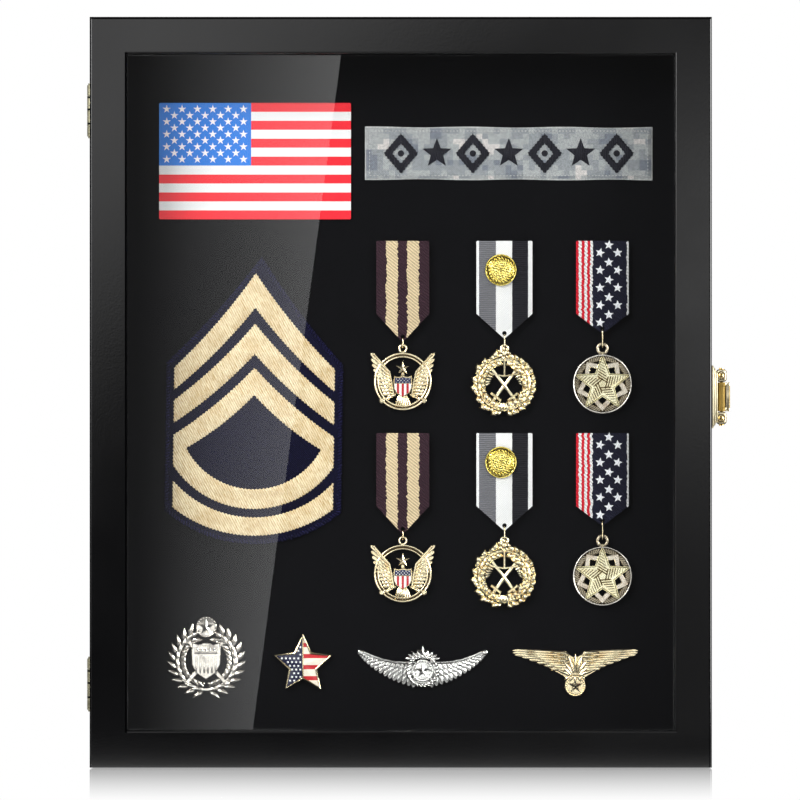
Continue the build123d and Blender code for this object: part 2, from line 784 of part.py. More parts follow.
# ---------------------------------------------------------------- medals
ribbon_back = felt_front - ribbon_bar_thickness
ribbon_front = ribbon_back - ribbon_thickness
pendant_middle = (ribbon_back + ribbon_front) / 2
pendant_back = pendant_middle + pendant_thickness / 2
eyelet_wire_rise = eyelet_hole_radius - link_wire_radius - eyelet_slack


def ribbon_strip(x, top, width, length):
    """A folded ribbon with a pointed foot and a hole for the link."""
    shoulder = top - ribbon_straight
    face = polygon([
        (-width / 2, top), (width / 2, top), (width / 2, shoulder), (0, top - length), (-width / 2, shoulder),
    ])
    strip = extrude(facing(x, 0, ribbon_back) * face, amount=ribbon_thickness)
    hole_height = top - length + ribbon_hole_rise
    return strip - along_y(ribbon_hole_radius, ribbon_front, ribbon_back, x, hole_height)


def link_ring(x, top, length):
    """A long wire link through the ribbon's hole and the pendant's eyelet."""
    reach = link_half_width
    head = top - length + ribbon_hole_rise - ribbon_hole_radius + link_wire_radius + ribbon_hole_slack
    foot = top - eyelet_drop + eyelet_wire_rise
    bend = Rot(0, 90, 0) * Torus(reach, link_wire_radius)
    half_space = Box(2 * reach, 4 * reach, 4 * reach)
    upper = Pos(x, pendant_middle, head - reach) * (bend & Pos(0, 0, 2 * reach) * half_space)
    lower = Pos(x, pendant_middle, foot + reach) * (bend & Pos(0, 0, -2 * reach) * half_space)
    link = upper + lower
    leg = head - foot - 2 * reach
    for side in (-1, 1):
        link += upright(link_wire_radius, leg, x, pendant_middle + side * reach, (head + foot) / 2)
    return link


def raised(face, x, z, back=pendant_back, thickness=pendant_thickness):
    """A face pushed out towards the front from a depth."""
    return extrude(facing(x, z, back) * face, amount=thickness)


def annulus(outer, inner):
    """A flat ring."""
    return Circle(outer) - Circle(inner)


def with_eyelet(body, x, eye_z, rim_z):
    """Adds the eyelet and its neck to a pendant, and opens the eyelet's hole."""
    eyelet_back = pendant_middle + eyelet_thickness / 2
    body += raised(Circle(eyelet_radius), x, eye_z, eyelet_back, eyelet_thickness)
    neck = Rectangle(eyelet_radius, 2 * (eye_z - rim_z))
    body += raised(neck, x, rim_z, eyelet_back, eyelet_thickness)
    hole = along_y(eyelet_hole_radius, pendant_back - 2 * pendant_thickness, pendant_back, x, eye_z)
    return body - hole


def winged_pendant(x, eye_z):
    """A ring with a striped shield between two raised wings and a small star above."""
    z = eye_z - ring_radius - ring_stem
    full = pendant_thickness + pendant_relief
    body = raised(annulus(ring_radius, ring_radius - ring_width), x, z)
    for side in (-1, 1):
        wing = polygon([(side * a, b) for a, b in wing_points])
        body += raised(wing, x, z, thickness=full)
    shield = Pos(0, -shield_height / 4) * shield_outline(shield_width, shield_height)
    body += raised(shield, x, z, thickness=full + pendant_relief)
    ring_middle = ring_radius - ring_width / 2
    half, fan_height = fan_top
    foot = fan_foot_half_width
    fan = polygon([(-half, fan_height), (half, fan_height), (foot, -ring_middle), (-foot, -ring_middle)])
    body += raised(fan, x, z, thickness=full)
    body += raised(Pos(0, ring_middle - ring_width) * star_outline(ring_width), x, z, thickness=full)
    return with_eyelet(body, x, eye_z, z + ring_middle)


def wreath_pendant(x, eye_z):
    """A leafy wreath round two crossed swords."""
    top = wreath_radius + wreath_leaf_radius
    z = eye_z - top - wreath_stem
    full = pendant_thickness + pendant_relief
    body = raised(annulus(wreath_radius + wreath_band / 2, wreath_radius - wreath_band / 2), x, z)
    for number in range(wreath_leaf_count):
        turn = math.radians(360 / wreath_leaf_count * (number + 0.5))
        leaf_x = x + wreath_radius * math.cos(turn)
        leaf_z = z + wreath_radius * math.sin(turn)
        body += raised(Circle(wreath_leaf_radius), leaf_x, leaf_z, thickness=full)
    for side in (-1, 1):
        blade = Rot(0, 0, side * sword_lean) * Rectangle(sword_width, sword_length)
        guard = Rot(0, 0, side * sword_lean) * Pos(0, -sword_length / 4) * Rectangle(
            3 * sword_width, sword_width)
        body += raised(blade, x, z)
        body += raised(guard, x, z, thickness=full)
    body += raised(Circle(2 * sword_width), x, z, thickness=full)
    body += raised(Pos(0, top) * Circle(wreath_leaf_radius), x, z)
    return with_eyelet(body, x, eye_z, z + top)


def starred_pendant(x, eye_z):
    """A rimmed medallion with a five-pointed star over five shorter points and open gaps."""
    z = eye_z - medallion_radius - medallion_stem
    inner = medallion_radius - medallion_rim
    body = raised(annulus(medallion_radius, inner), x, z)
    star_radius = inner + medallion_rim / 4
    behind = Rot(0, 0, 180 / star_points) * star_outline(star_radius, 0.5)
    body += raised(behind, x, z, thickness=pendant_thickness - pendant_relief / 2)
    body += raised(star_outline(star_radius), x, z, thickness=pendant_thickness + pendant_relief)
    return with_eyelet(body, x, eye_z, z + medallion_radius - medallion_rim / 2)


def button(x, top):
    """A domed button on the middle of a ribbon."""
    return Pos(x, ribbon_front, top - button_drop) * Rot(90, 0, 0) * dome_cap(button_radius, button_height)


columns = {"winged": winged_column, "wreath": wreath_column, "starred": starred_column}
pendant_makers = {"winged": winged_pendant, "wreath": wreath_pendant, "starred": starred_pendant}
rows = {"upper": upper_row_spot, "lower": lower_row_spot}
ribbons = {}
pendants = {}
ribbon_bars = []
link_rings = []
buttons = []
badge_pin_points = []
for row, height in rows.items():
    for kind, (spot_x, width, length) in columns.items():
        x, top = on_board((spot_x, height))
        bar_middle = top - ribbon_bar_drop - ribbon_bar_height / 2
        ribbons[f"ribbon_{kind}_{row}"] = ribbon_strip(x, top, width, length)
        pendants[f"pendant_{kind}_{row}"] = pendant_makers[kind](x, top - eyelet_drop)
        link_rings.append(link_ring(x, top, length))
        bar = Rectangle(ribbon_bar_width, ribbon_bar_height)
        ribbon_bars.append(raised(bar, x, bar_middle, felt_front, ribbon_bar_thickness))
        badge_pin_points += [(x + end * ribbon_bar_width / 3, bar_middle) for end in (-1, 1)]
        if kind == "wreath":
            buttons.append(button(x, top))


# ---------------------------------------------------------------- pin badges
def badge_layer(face, spot, thickness=badge_thickness):
    """A layer of a badge, with its back on the felt."""
    return raised(face, *on_board(spot), felt_front, thickness)


def emblem_badge():
    """A laurel wreath round a striped shield, with a star over its opening."""
    full = badge_thickness + badge_relief
    radius = emblem_wreath_radius
    band = emblem_leaf[1] / 3
    badge = badge_layer(annulus(radius + band / 2, radius - band / 2), emblem_spot)
    for side in (-1, 1):
        for number in range(emblem_leaf_count):
            turn = emblem_first_leaf_turn + emblem_leaves_sweep / (emblem_leaf_count - 1) * number
            place = Rot(0, 0, turn) * Pos(radius, 0) * Rot(0, 0, emblem_leaf_lean)
            leaf = place * leaf_outline(*emblem_leaf)
            if side < 0:
                leaf = mirror(leaf, Plane.YZ)
            badge += badge_layer(leaf, emblem_spot, full - badge_relief / 2)
        crossed = Rot(0, 0, side * emblem_staff_lean) * Rectangle(band, 2 * radius)
        badge += badge_layer(crossed, emblem_spot)
    badge += badge_layer(shield_outline(*emblem_shield), emblem_spot, full)
    return badge + badge_layer(Pos(0, emblem_star_rise) * star_outline(emblem_star_radius), emblem_spot, full)


def wings_badge():
    """Two feathered wings from a small round boss, with a star above it."""
    right = [(wings_half_span * a, b) for a, b in wings_top + wings_foot]
    left = [(-a, b) for a, b in reversed(right[1:-1])]
    badge = badge_layer(polygon(right + left), wings_spot)
    full = badge_thickness + badge_relief
    badge += badge_layer(Circle(wings_disc_radius), wings_spot, full)
    star = Pos(0, wings_star_rise) * star_outline(wings_star_radius)
    return badge + badge_layer(star, wings_spot, full)


def branch_badge():
    """Two leafy branches that sweep out from a round boss."""
    full = badge_thickness + badge_relief
    badge = badge_layer(Pos(0, -branch_disc_drop) * Circle(branch_disc_radius), branch_spot, full)
    length, width = branch_leaf
    reach = branch_half_span - length
    root_low, root_high = branch_stem_root
    end_low, end_high = branch_stem_end
    for side in (-1, 1):
        leaves = [polygon([(0, root_low), (reach, end_low), (reach, end_high), (0, root_high)])]
        for number in range(branch_leaf_count):
            root = branch_first_leaf + (reach - branch_first_leaf) * number / (branch_leaf_count - 1)
            for lean in branch_leaf_leans:
                place = Pos(root, branch_leaf_rise * root) * Rot(0, 0, lean)
                leaves.append(place * leaf_outline(length, width))
        leaves.append(Pos(reach, branch_tip_rise) * Rot(0, 0, branch_tip_lean) * leaf_outline(length, width))
        for leaf in leaves:
            shape = leaf if side > 0 else mirror(leaf, Plane.YZ)
            badge += badge_layer(shape, branch_spot)
    return badge


badge_pin_offsets = {
    emblem_spot: (0, emblem_shield[1] / 4),
    star_pin_spot: (0, star_pin_radius / 4),
    wings_spot: (wings_disc_radius * 2, 0),
    branch_spot: (branch_disc_radius / 2, -branch_disc_drop),
}
for spot, (across, up) in badge_pin_offsets.items():
    middle_x, middle_z = on_board(spot)
    if across:
        badge_pin_points += [(middle_x + end * across, middle_z + up) for end in (-1, 1)]
    else:
        badge_pin_points += [(middle_x, middle_z + end * up) for end in (-1, 1)]
badge_pins = []
for x, z in badge_pin_points:
    badge_pins.append(along_y(badge_pin_radius, felt_front, felt_front + badge_pin_length, x, z))
    hole = along_y(badge_pin_radius + badge_pin_clearance, felt_front, felt_front + badge_pin_length, x, z)
    felt_cover -= hole
    pin_board -= hole

# ---------------------------------------------------------------- corner biscuits' slots, then the files
for side in case_sides:
    for biscuit in case_biscuits:
        case_sides[side] -= biscuit
    for biscuit in door_biscuits:
        door_sides[side] -= biscuit

os.makedirs("parts", exist_ok=True)
for side, solid in case_sides.items():
    write(f"case_wall_{side}", solid)
write("case_biscuits", *case_biscuits)
write("back_panel", back_panel)
write("back_panel_screws", *panel_screws)
write("pin_board", pin_board)
write("felt_cover", felt_cover)
write("wall_liners", *liners)
for name, plate in hangers.items():
    write(name, plate)
write("hanger_screws", *hanger_screws)
write("wall_bumpers", *wall_bumpers)
write("stop_pads", *stop_pads)
for side, solid in door_sides.items():
    kind = "rail" if side in ("top", "bottom") else "stile"
    write(f"door_{kind}_{side}", solid)
write("door_biscuits", *door_biscuits)
write("door_pane", pane)
write("pane_retainers", *retainers)
write("retainer_brads", *brads)
for name, leaf in hinge_parts.items():
    write(name, leaf)
for name, pin in zip(hinge_heights, hinge_pins):
    write(f"hinge_{name}_pin", pin)
write("hinge_case_screws", *hinge_case_screws)
write("hinge_door_screws", *hinge_door_screws)
write("latch_base", latch_base)
write("latch_base_screws", *latch_base_screws)
write("latch_pin", latch_pin)
write("latch_lever", latch_lever)
write("latch_keeper", keeper)
write("keeper_screws", *keeper_screws)
write("flag_card", flag_card)
write("name_tape", name_tape)
write("chevron_patch", chevron_patch)
for name, solid in (ribbons | pendants).items():
    write(name, solid)
write("ribbon_bars", *ribbon_bars)
write("link_rings", *link_rings)
write("ribbon_buttons", *buttons)
write("emblem_badge", emblem_badge())
write("star_pin", badge_layer(star_outline(star_pin_radius), star_pin_spot))
write("wings_badge", wings_badge())
write("branch_badge", branch_badge())
write("badge_pins", *badge_pins)
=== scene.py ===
"""Dresses a badge display case: a black wall case with a glazed door, and the medals and badges on its felt.

Lengths are in millimetres until a piece is finished. A flat shape lies in its own plane, x to the right, y up
and z towards the front, and is then put at a place on the board and a depth.
"""

import logging
import math
from dataclasses import dataclass
from enum import Enum
from typing import Callable, ClassVar, Iterable, Iterator, Sequence, Union

import bmesh
import bpy
import numpy as np
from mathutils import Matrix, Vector


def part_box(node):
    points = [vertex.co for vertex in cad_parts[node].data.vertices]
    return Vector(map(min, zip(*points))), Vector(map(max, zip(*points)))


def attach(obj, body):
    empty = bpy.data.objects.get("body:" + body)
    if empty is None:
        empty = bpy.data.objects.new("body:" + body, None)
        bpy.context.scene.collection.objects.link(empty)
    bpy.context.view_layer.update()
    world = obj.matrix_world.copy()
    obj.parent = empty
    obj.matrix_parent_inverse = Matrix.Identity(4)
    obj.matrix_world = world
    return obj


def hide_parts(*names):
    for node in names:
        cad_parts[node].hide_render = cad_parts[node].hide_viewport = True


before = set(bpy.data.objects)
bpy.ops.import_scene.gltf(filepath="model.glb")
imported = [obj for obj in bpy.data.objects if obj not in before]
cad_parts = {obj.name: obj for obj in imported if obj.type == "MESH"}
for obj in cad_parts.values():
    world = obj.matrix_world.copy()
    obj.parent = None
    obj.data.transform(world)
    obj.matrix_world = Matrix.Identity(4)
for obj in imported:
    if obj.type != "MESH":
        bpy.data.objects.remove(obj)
log = logging.getLogger("display_case")

MM = 0.001
Color = tuple[float, float, float]
Point = tuple[float, float]
Place = tuple[float, float, float]
Number = Union[float, "Wire"]


def rgb(red: int, green: int, blue: int) -> Color:
    """A colour as it looks on a screen, 0 to 255, as the linear values that shaders take."""
    parts = [value / 255 for value in (red, green, blue)]
    return tuple(p / 12.92 if p <= 0.04045 else ((p + 0.055) / 1.055) ** 2.4 for p in parts)


def shaded(color: Color, share: float) -> Color:
    """A colour times a share."""
    return tuple(share * part for part in color)


# ---------------------------------------------------------------- shader kit
def operator(operation: str, swapped: bool = False) -> Callable[["Wire", Number], "Wire"]:
    """A method that adds a Math node.

    Args:
        operation: the node's operation.
        swapped: whether the other value comes first.

    Returns:
        The method.
    """
    def method(wire: "Wire", other: Number) -> "Wire":
        """The operation on this value and another."""
        return wire.paint.math(operation, *((other, wire) if swapped else (wire, other)))

    return method


class Wire:
    """A value in a material; arithmetic on it adds Math nodes."""

    def __init__(self, paint: "Paint", socket: bpy.types.NodeSocket) -> None:
        """Wraps a node's output."""
        self.paint, self.socket = paint, socket

    __add__ = __radd__ = operator("ADD")
    __sub__, __rsub__ = operator("SUBTRACT"), operator("SUBTRACT", swapped=True)
    __mul__ = __rmul__ = operator("MULTIPLY")
    __truediv__ = operator("DIVIDE")
    __mod__ = operator("FLOORED_MODULO")
    __pow__ = operator("POWER")
    __lt__, __gt__ = operator("LESS_THAN"), operator("GREATER_THAN")
    most, least = operator("MAXIMUM"), operator("MINIMUM")

    def at(self, output: str) -> "Wire":
        """Another output of the same node."""
        return Wire(self.paint, self.socket.node.outputs[output])

    def floor(self) -> "Wire":
        """The whole number below."""
        return self.paint.math("FLOOR", self)

    def sine(self) -> "Wire":
        """Sine of radians."""
        return self.paint.math("SINE", self)

    def wave(self, pitch: float) -> "Wire":
        """A sine over a length."""
        return (self * (math.tau / pitch)).sine()

    def size(self) -> "Wire":
        """The value without its sign."""
        return self.paint.math("ABSOLUTE", self)

    def smooth(self, low: float, high: float) -> "Wire":
        """0 below low, 1 above high and a smooth rise between."""
        return self.paint.add("ShaderNodeMapRange", {"interpolation_type": "SMOOTHSTEP"},
                              {"Value": self, "From Min": low, "From Max": high})


class Paint:
    """A material or a world in the making."""

    def __init__(self, name: str, library: str = "materials") -> None:
        """Starts it without nodes.

        Args:
            name: its name.
            library: what it is, materials or worlds.
        """
        self.made = getattr(bpy.data, library).new(name)
        self.made.use_nodes = True
        self.tree = self.made.node_tree
        self.tree.nodes.clear()

    def add(self, kind: str, settings: dict | None = None, inputs: dict | None = None,
            out: int | str = 0) -> Wire:
        """Adds a node.

        Args:
            kind: the node's type.
            settings: its properties; they are set first.
            inputs: values or links of its sockets, by name or number.
            out: the output to give back.

        Returns:
            The output as a wire.
        """
        node = self.tree.nodes.new(kind)
        for key, value in (settings or {}).items():
            setattr(node, key, value)
        for key, value in (inputs or {}).items():
            socket = node.inputs[key]
            if isinstance(value, Wire):
                self.tree.links.new(value.socket, socket)
            else:
                socket.default_value = (*value, 1) if socket.type == "RGBA" else value
        return Wire(self, node.outputs[out])

    def math(self, operation: str, *values: Number) -> Wire:
        """A Math node."""
        return self.add("ShaderNodeMath", {"operation": operation}, dict(enumerate(values)))

    def place(self) -> tuple[Wire, Wire, Wire]:
        """The point's place on the object, in millimetres, as x, y and z.

        Returns:
            The point.
        """
        spot = self.add("ShaderNodeTexCoord", out="Object")
        scaled = self.add("ShaderNodeVectorMath", {"operation": "SCALE"}, {0: spot, "Scale": 1 / MM})
        x = self.add("ShaderNodeSeparateXYZ", inputs={0: scaled})
        return x, x.at("Y"), x.at("Z")

    def vector(self, x: Number, y: Number = 0.0, z: Number = 0.0) -> Wire:
        """Three values as a vector."""
        return self.add("ShaderNodeCombineXYZ", inputs={0: x, 1: y, 2: z})

    def noise(self, size: float, detail: float = 2.0, rough: float = 0.5, where: Wire | None = None) -> Wire:
        """Soft noise from 0 to 1 whose blobs are about size millimetres wide.

        Args:
            size: width of the largest blobs, in millimetres.
            detail: finer layers added.
            rough: strength of the finer layers.
            where: the place it is read at, in millimetres, or the point's own.

        Returns:
            The noise.
        """
        spot = where or self.vector(*self.place())
        return self.add("ShaderNodeTexNoise", None,
                        {"Vector": spot, "Scale": 1 / size, "Detail": detail, "Roughness": rough})

    def mix(self, share: Number, first: object, second: object) -> Wire:
        """Mixes two colours."""
        return self.add("ShaderNodeMix", {"data_type": "RGBA"}, {0: share, 6: first, 7: second}, out=2)

    def blend(self, share: Number, first: Wire, second: Wire) -> Wire:
        """Mixes two shaders."""
        return self.add("ShaderNodeMixShader", None, {0: share, 1: first, 2: second})

    def steps(self, value: Wire, starts: Sequence[float], colors: Sequence[Color]) -> Wire:
        """Colours along a value, with hard edges.

        Args:
            value: the value, from 0 to 1.
            starts: where each colour starts.
            colors: the colours.

        Returns:
            The colour.
        """
        wire = self.add("ShaderNodeValToRGB", None, {0: value})
        ramp = wire.socket.node.color_ramp
        ramp.interpolation = "CONSTANT"
        ramp.elements.remove(ramp.elements[-1])
        for number, (start, color) in enumerate(zip(starts, colors)):
            stop = ramp.elements.new(start) if number else ramp.elements[0]
            stop.position, stop.color = start, (*color, 1)
        return wire

    def bump(self, height: Number, depth: float, strength: float = 1.0) -> Wire:
        """A normal from a height of 0 to 1 that stands for depth millimetres."""
        inputs = {"Height": height, "Distance": depth * MM, "Strength": strength}
        return self.add("ShaderNodeBump", None, inputs)

    def surface(self, **inputs: object) -> Wire:
        """A Principled shader; a socket's spaces are written as underscores."""
        return self.add("ShaderNodeBsdfPrincipled", None, {k.replace("_", " "): v for k, v in inputs.items()})

    def glow(self, level: Number) -> Wire:
        """A white emission."""
        return self.add("ShaderNodeEmission", None, {"Color": (1, 1, 1), "Strength": level})

    def end(self, shader: Wire, kind: str = "Material") -> bpy.types.ID:
        """Links a shader to the output and gives the material or world back.

        Args:
            shader: the shader.
            kind: the output node's kind.

        Returns:
            The material or world.
        """
        node = self.tree.nodes.new(f"ShaderNodeOutput{kind}")
        self.tree.links.new(shader.socket, node.inputs["Surface"])
        return self.made


class Finish:
    """A finish; its material is made once."""

    made: ClassVar[dict["Finish", bpy.types.Material]] = {}

    def coat(self, paint: Paint) -> Wire:
        """Builds the shader in a material and gives it back."""
        raise NotImplementedError

    def material(self) -> bpy.types.Material:
        """The finish's material.

        Returns:
            The material.
        """
        if self not in Finish.made:
            paint = Paint(self.title)
            Finish.made[self] = paint.end(self.coat(paint))
        return Finish.made[self]


# ---------------------------------------------------------------- finishes
@dataclass(frozen=True)
class Lacquer(Finish):
    """Sprayed satin lacquer: a faint orange peel, softly uneven gloss and painted shade in matt black bands
    along its edges.
    """

    title: str = "black_lacquer"
    color: Color = (0.0022, 0.0022, 0.0024)
    edge_shade_color: Color = (0.0012, 0.0012, 0.0014)
    roughness: float = 0.13
    peel: float = 0.9
    left: float = -151.7
    right: float = 151.1
    top: float = 367.2
    front: float = -29.6
    lip: float = -135.1
    opening: Point = (17.6, 350.7)

    def coat(self, paint: Paint) -> Wire:
        """Builds the shader.

        Args:
            paint: the material in the making.

        Returns:
            The shader.
        """
        cloud = paint.noise(38, 2)
        shade = paint.mix(cloud, self.color, shaded(self.color, 1.6))
        gloss = paint.surface(Base_Color=shade, Roughness=cloud * 0.08 + (self.roughness - 0.04),
                              Normal=paint.bump(paint.noise(self.peel, 1), 0.012))
        x, y, z = paint.place()
        # Painted shade: matt black bands along the outer edges, on both sides of a thin glossy strip at the
        # right edge, and along the inner lip stand for dark edge reflections.
        rim = (x < self.left) + (z > self.top)
        rim = rim + (x > self.right) * (x < self.right + 0.4) + (x > self.right + 0.95)
        rim = rim + (x > self.lip) * (x < self.lip + 1.2) * (z > self.opening[0]) * (z < self.opening[1])
        matt = paint.surface(Base_Color=self.edge_shade_color, Roughness=0.9, Specular_IOR_Level=0.0)
        return paint.blend(rim.least(1.0) * (y < self.front), gloss, matt)


@dataclass(frozen=True)
class Felt(Finish):
    """Pressed black felt with short fibres."""

    title: str = "black_felt"
    color: Color = (0.0044, 0.0044, 0.0054)

    def coat(self, paint: Paint) -> Wire:
        """Builds the shader.

        Args:
            paint: the material in the making.

        Returns:
            The shader.
        """
        fibre = paint.noise(1.2, 3, 0.7)
        tone = fibre * 0.6 + paint.noise(9, 3, 0.6) * 0.4
        return paint.surface(Base_Color=paint.mix(tone, shaded(self.color, 0.6), shaded(self.color, 1.45)),
                             Roughness=0.95, Specular_IOR_Level=0.0, Normal=paint.bump(fibre, 0.06, 0.5))


@dataclass(frozen=True)
class Plating(Finish):
    """Plated metal with softly uneven polish, painted shade in its hollows and gaps, which on the antique
    finishes also stands for patina, and dark lines at joints' heights.
    """

    title: str
    color: Color
    dark: Color
    roughness: float = 0.16
    age: float = 0.8
    joints: tuple[float, ...] = ()
    grain: float = 0.8
    reach: float = 1.4

    def coat(self, paint: Paint) -> Wire:
        """Builds the shader.

        Args:
            paint: the material in the making.

        Returns:
            The shader.
        """
        cloud, fine = paint.noise(4.5, 3, 0.6), paint.noise(self.grain, 2)
        reach = {"Distance": self.reach * MM}
        # Painted shade: an ambient-occlusion mask darkens the colour in hollows and in gaps between parts, by
        # the finish's own strength down to near black; on the antique finishes it also stands for patina.
        open_share = paint.add("ShaderNodeAmbientOcclusion", {"samples": 6}, reach, "AO")
        hollow = 1 - open_share.smooth(0.3, 0.9)
        tone = paint.mix(cloud.smooth(0.4, 0.8) * 0.5 + hollow * 0.5, self.color, self.dark)
        gap = hollow ** 2.0 * self.age
        height = paint.place()[2]
        for joint in self.joints:
            gap = gap.most((height - joint).size() < 0.45)
        return paint.surface(Base_Color=paint.mix(gap, tone, shaded(self.dark, 0.06)), Metallic=1.0,
                             Roughness=fine * 0.12 + (self.roughness - 0.06), Normal=paint.bump(fine, 0.03))


@dataclass(frozen=True)
class ClearPane(Finish):
    """A clear flat pane: it mirrors a little and lets the rest through."""

    title: str = "clear_pane"
    mirrored: float = 0.04

    def coat(self, paint: Paint) -> Wire:
        """Builds the shader.

        Args:
            paint: the material in the making.

        Returns:
            The shader.
        """
        smudge = paint.mix(paint.noise(40, 3, 0.6), (0.97, 0.97, 0.98), (1, 1, 1))
        mirror = paint.surface(Base_Color=smudge, Metallic=1.0, Roughness=0.0)
        clear = paint.add("ShaderNodeBsdfTransparent", None, {"Color": (0.99, 0.995, 0.99)})
        facing = paint.add("ShaderNodeLayerWeight", None, {"Blend": 0.5}, "Facing")
        return paint.blend(facing ** 5.0 * (1 - self.mirrored) + self.mirrored, clear, mirror)


@dataclass(frozen=True)
class FlagPrint(Finish):
    """Glossy printed card: thirteen stripes and a blue corner."""

    title: str
    left: float
    foot: float
    width: float
    height: float
    red: Color = rgb(254, 22, 44)
    white: Color = rgb(250, 250, 252)
    blue: Color = rgb(8, 122, 226)

    def coat(self, paint: Paint) -> Wire:
        """Builds the shader.

        Args:
            paint: the material in the making.

        Returns:
            The shader.
        """
        x, _, z = paint.place()
        ground = paint.mix(((z - self.foot) * (13 / self.height)).floor() % 2, self.red, self.white)
        corner = (x < self.left + 0.48 * self.width) * (z > self.foot + 6 / 13 * self.height)
        ink = paint.noise(0.35, 1)
        shade = paint.mix(ink * 0.05, paint.mix(corner, ground, self.blue), (0.1, 0.1, 0.12))
        return paint.surface(Base_Color=shade, Roughness=ink * 0.06 + 0.22,
                             Normal=paint.bump(paint.noise(3, 2), 0.03))


@dataclass(frozen=True)
class Band:
    """One band of a ribbon, up to an edge given in millimetres from the ribbon's left side."""

    edge: float
    color: Color
    ribbed: float = 0.0


@dataclass(frozen=True)
class RibbonWeave(Finish):
    """Woven ribbon with bands along its length."""

    title: str
    left: float
    bands: tuple[Band, ...]
    wave: float
    pitch: float
    fleck: float
    gap: Color = (0.012, 0.012, 0.014)

    def coat(self, paint: Paint) -> Wire:
        """Builds the shader.

        Args:
            paint: the material in the making.

        Returns:
            The shader.
        """
        x, _, z = paint.place()
        wander = paint.noise(1.5, 1, 0.5, paint.vector(x * 0.1, 0.0, z))
        across = x - self.left + (wander - 0.5) * (8 * self.wave)
        shade, ribs = self.bands[0].color, self.bands[0].ribbed
        for before, band in zip(self.bands, self.bands[1:]):
            past = across > before.edge
            shade = paint.mix(past, shade, band.color)
            ribs = paint.math("MULTIPLY_ADD", past, band.ribbed - ribs, ribs)
        twill = (x * 0.8 + z).wave(self.pitch) * 0.5 + 0.5
        cord = z.wave(1.0) * 0.5 + 0.5
        weave = twill * (1 - ribs) + cord * ribs
        speckle = paint.noise(0.8, 2, 0.7)
        shade = paint.mix(((1 - weave) * 0.6 + speckle * 0.5) * self.fleck, shade, (0.012, 0.01, 0.014))
        # Painted shade: the troughs between the cords of ribbed bands are darkened towards near black.
        shade = paint.mix(ribs * (1 - cord) * 0.55, shade, self.gap)
        return paint.surface(Base_Color=shade, Roughness=0.8, Specular_IOR_Level=0.08,
                             Normal=paint.bump(weave, 0.2, 0.9))


@dataclass(frozen=True)
class PixelCloth(Finish):
    """Ripstop cloth in a grey-green pattern of small squares, with a painted highlight along its folded
    edges.
    """

    x: float
    z: float
    width: float
    height: float
    title: str = "pixel_cloth"
    cell: float = 2.9
    starts: tuple[float, ...] = (0.0, 0.42, 0.51, 0.61)
    tones: tuple[Color, ...] = (rgb(140, 146, 158), rgb(168, 173, 178), rgb(192, 195, 197),
                                rgb(236, 230, 228))

    def coat(self, paint: Paint) -> Wire:
        """Builds the shader.

        Args:
            paint: the material in the making.

        Returns:
            The shader.
        """
        x, _, z = paint.place()
        column, row = (x / self.cell).floor(), (z / (self.cell * 0.9)).floor()
        square = paint.vector(column * self.cell, 0.0, row * self.cell)
        shade = paint.steps(paint.noise(12.0, 3, 0.75, square), self.starts, self.tones)
        # Painted highlight: a pale band along the folded edges.
        rim = ((x - self.x).size() - self.width / 2).most((z - self.z).size() - self.height / 2)
        shade = paint.mix(rim.smooth(-0.8, -0.2) * 0.7, shade, (0.86, 0.86, 0.85))
        weave = x.wave(1.0) * z.wave(1.0) * 0.5 + 0.5
        fuzz = paint.noise(0.7, 2, 0.7)
        shade = paint.mix((1 - weave) * 0.2 + fuzz.smooth(0.3, 0.7) * 0.34, shade, (0.05, 0.055, 0.06))
        return paint.surface(Base_Color=shade, Roughness=0.85, Specular_IOR_Level=0.1,
                             Normal=paint.bump(weave, 0.12))


@dataclass(frozen=True)
class Thread(Finish):
    """Embroidery thread: a satin sheen and stitches side by side along one direction."""

    title: str
    color: Color
    shade: Color
    lean: float
    pitch: float = 0.75

    def coat(self, paint: Paint) -> Wire:
        """Builds the shader.

        Args:
            paint: the material in the making.

        Returns:
            The shader.
        """
        x, _, z = paint.place()
        turn = math.radians(self.lean)
        along = x.size() * math.cos(turn) + z * math.sin(turn)
        across = z * math.cos(turn) - x.size() * math.sin(turn)
        strand = paint.noise(self.pitch, 2, 0.6, paint.vector(across, 0.0, along * 0.22))
        line = (across + strand * 0.5).wave(1.1) * 0.5 + 0.5
        mixed = paint.mix(strand.smooth(0.4, 0.7) * 0.42 + (1 - line) * 0.48, self.color, self.shade)
        mixed = paint.mix(paint.noise(8, 2).smooth(0.42, 0.62) * 0.26, mixed, self.shade)
        return paint.surface(Base_Color=mixed, Roughness=0.55, Specular_IOR_Level=0.15,
                             Normal=paint.bump(line * 0.5 + strand, 0.25))


@dataclass(frozen=True)
class Twill(Finish):
    """Twill cloth with a fine diagonal."""

    title: str
    color: Color
    light: Color
    pitch: float = 0.7

    def coat(self, paint: Paint) -> Wire:
        """Builds the shader.

        Args:
            paint: the material in the making.

        Returns:
            The shader.
        """
        x, _, z = paint.place()
        line = (x + z).wave(self.pitch) * 0.5 + 0.5
        shade = paint.mix(line * 0.5 + paint.noise(0.6, 3, 0.7) * 0.5, self.color, self.light)
        return paint.surface(Base_Color=shade, Roughness=0.85, Specular_IOR_Level=0.1,
                             Normal=paint.bump(line, 0.12))


@dataclass(frozen=True)
class Enamel(Finish):
    """Glossy enamel, plain or in upright or level stripes, with tiny pits."""

    title: str
    color: Color
    other: Color | None = None
    pitch: float = 1.0
    start: float = 0.0
    level: bool = False
    split: float = 0.5

    def coat(self, paint: Paint) -> Wire:
        """Builds the shader.

        Args:
            paint: the material in the making.

        Returns:
            The shader.
        """
        x, _, z = paint.place()
        fleck = paint.noise(0.3, 2)
        shade = paint.mix(fleck * 0.2, self.color, shaded(self.color, 0.6))
        if self.other:
            stripe = (((z if self.level else x) - self.start) / self.pitch) % 1 > self.split
            shade = paint.mix(stripe, shade, self.other)
        return paint.surface(Base_Color=shade, Roughness=fleck * 0.1 + 0.12, Coat_Weight=0.5,
                             Normal=paint.bump(fleck, 0.02))


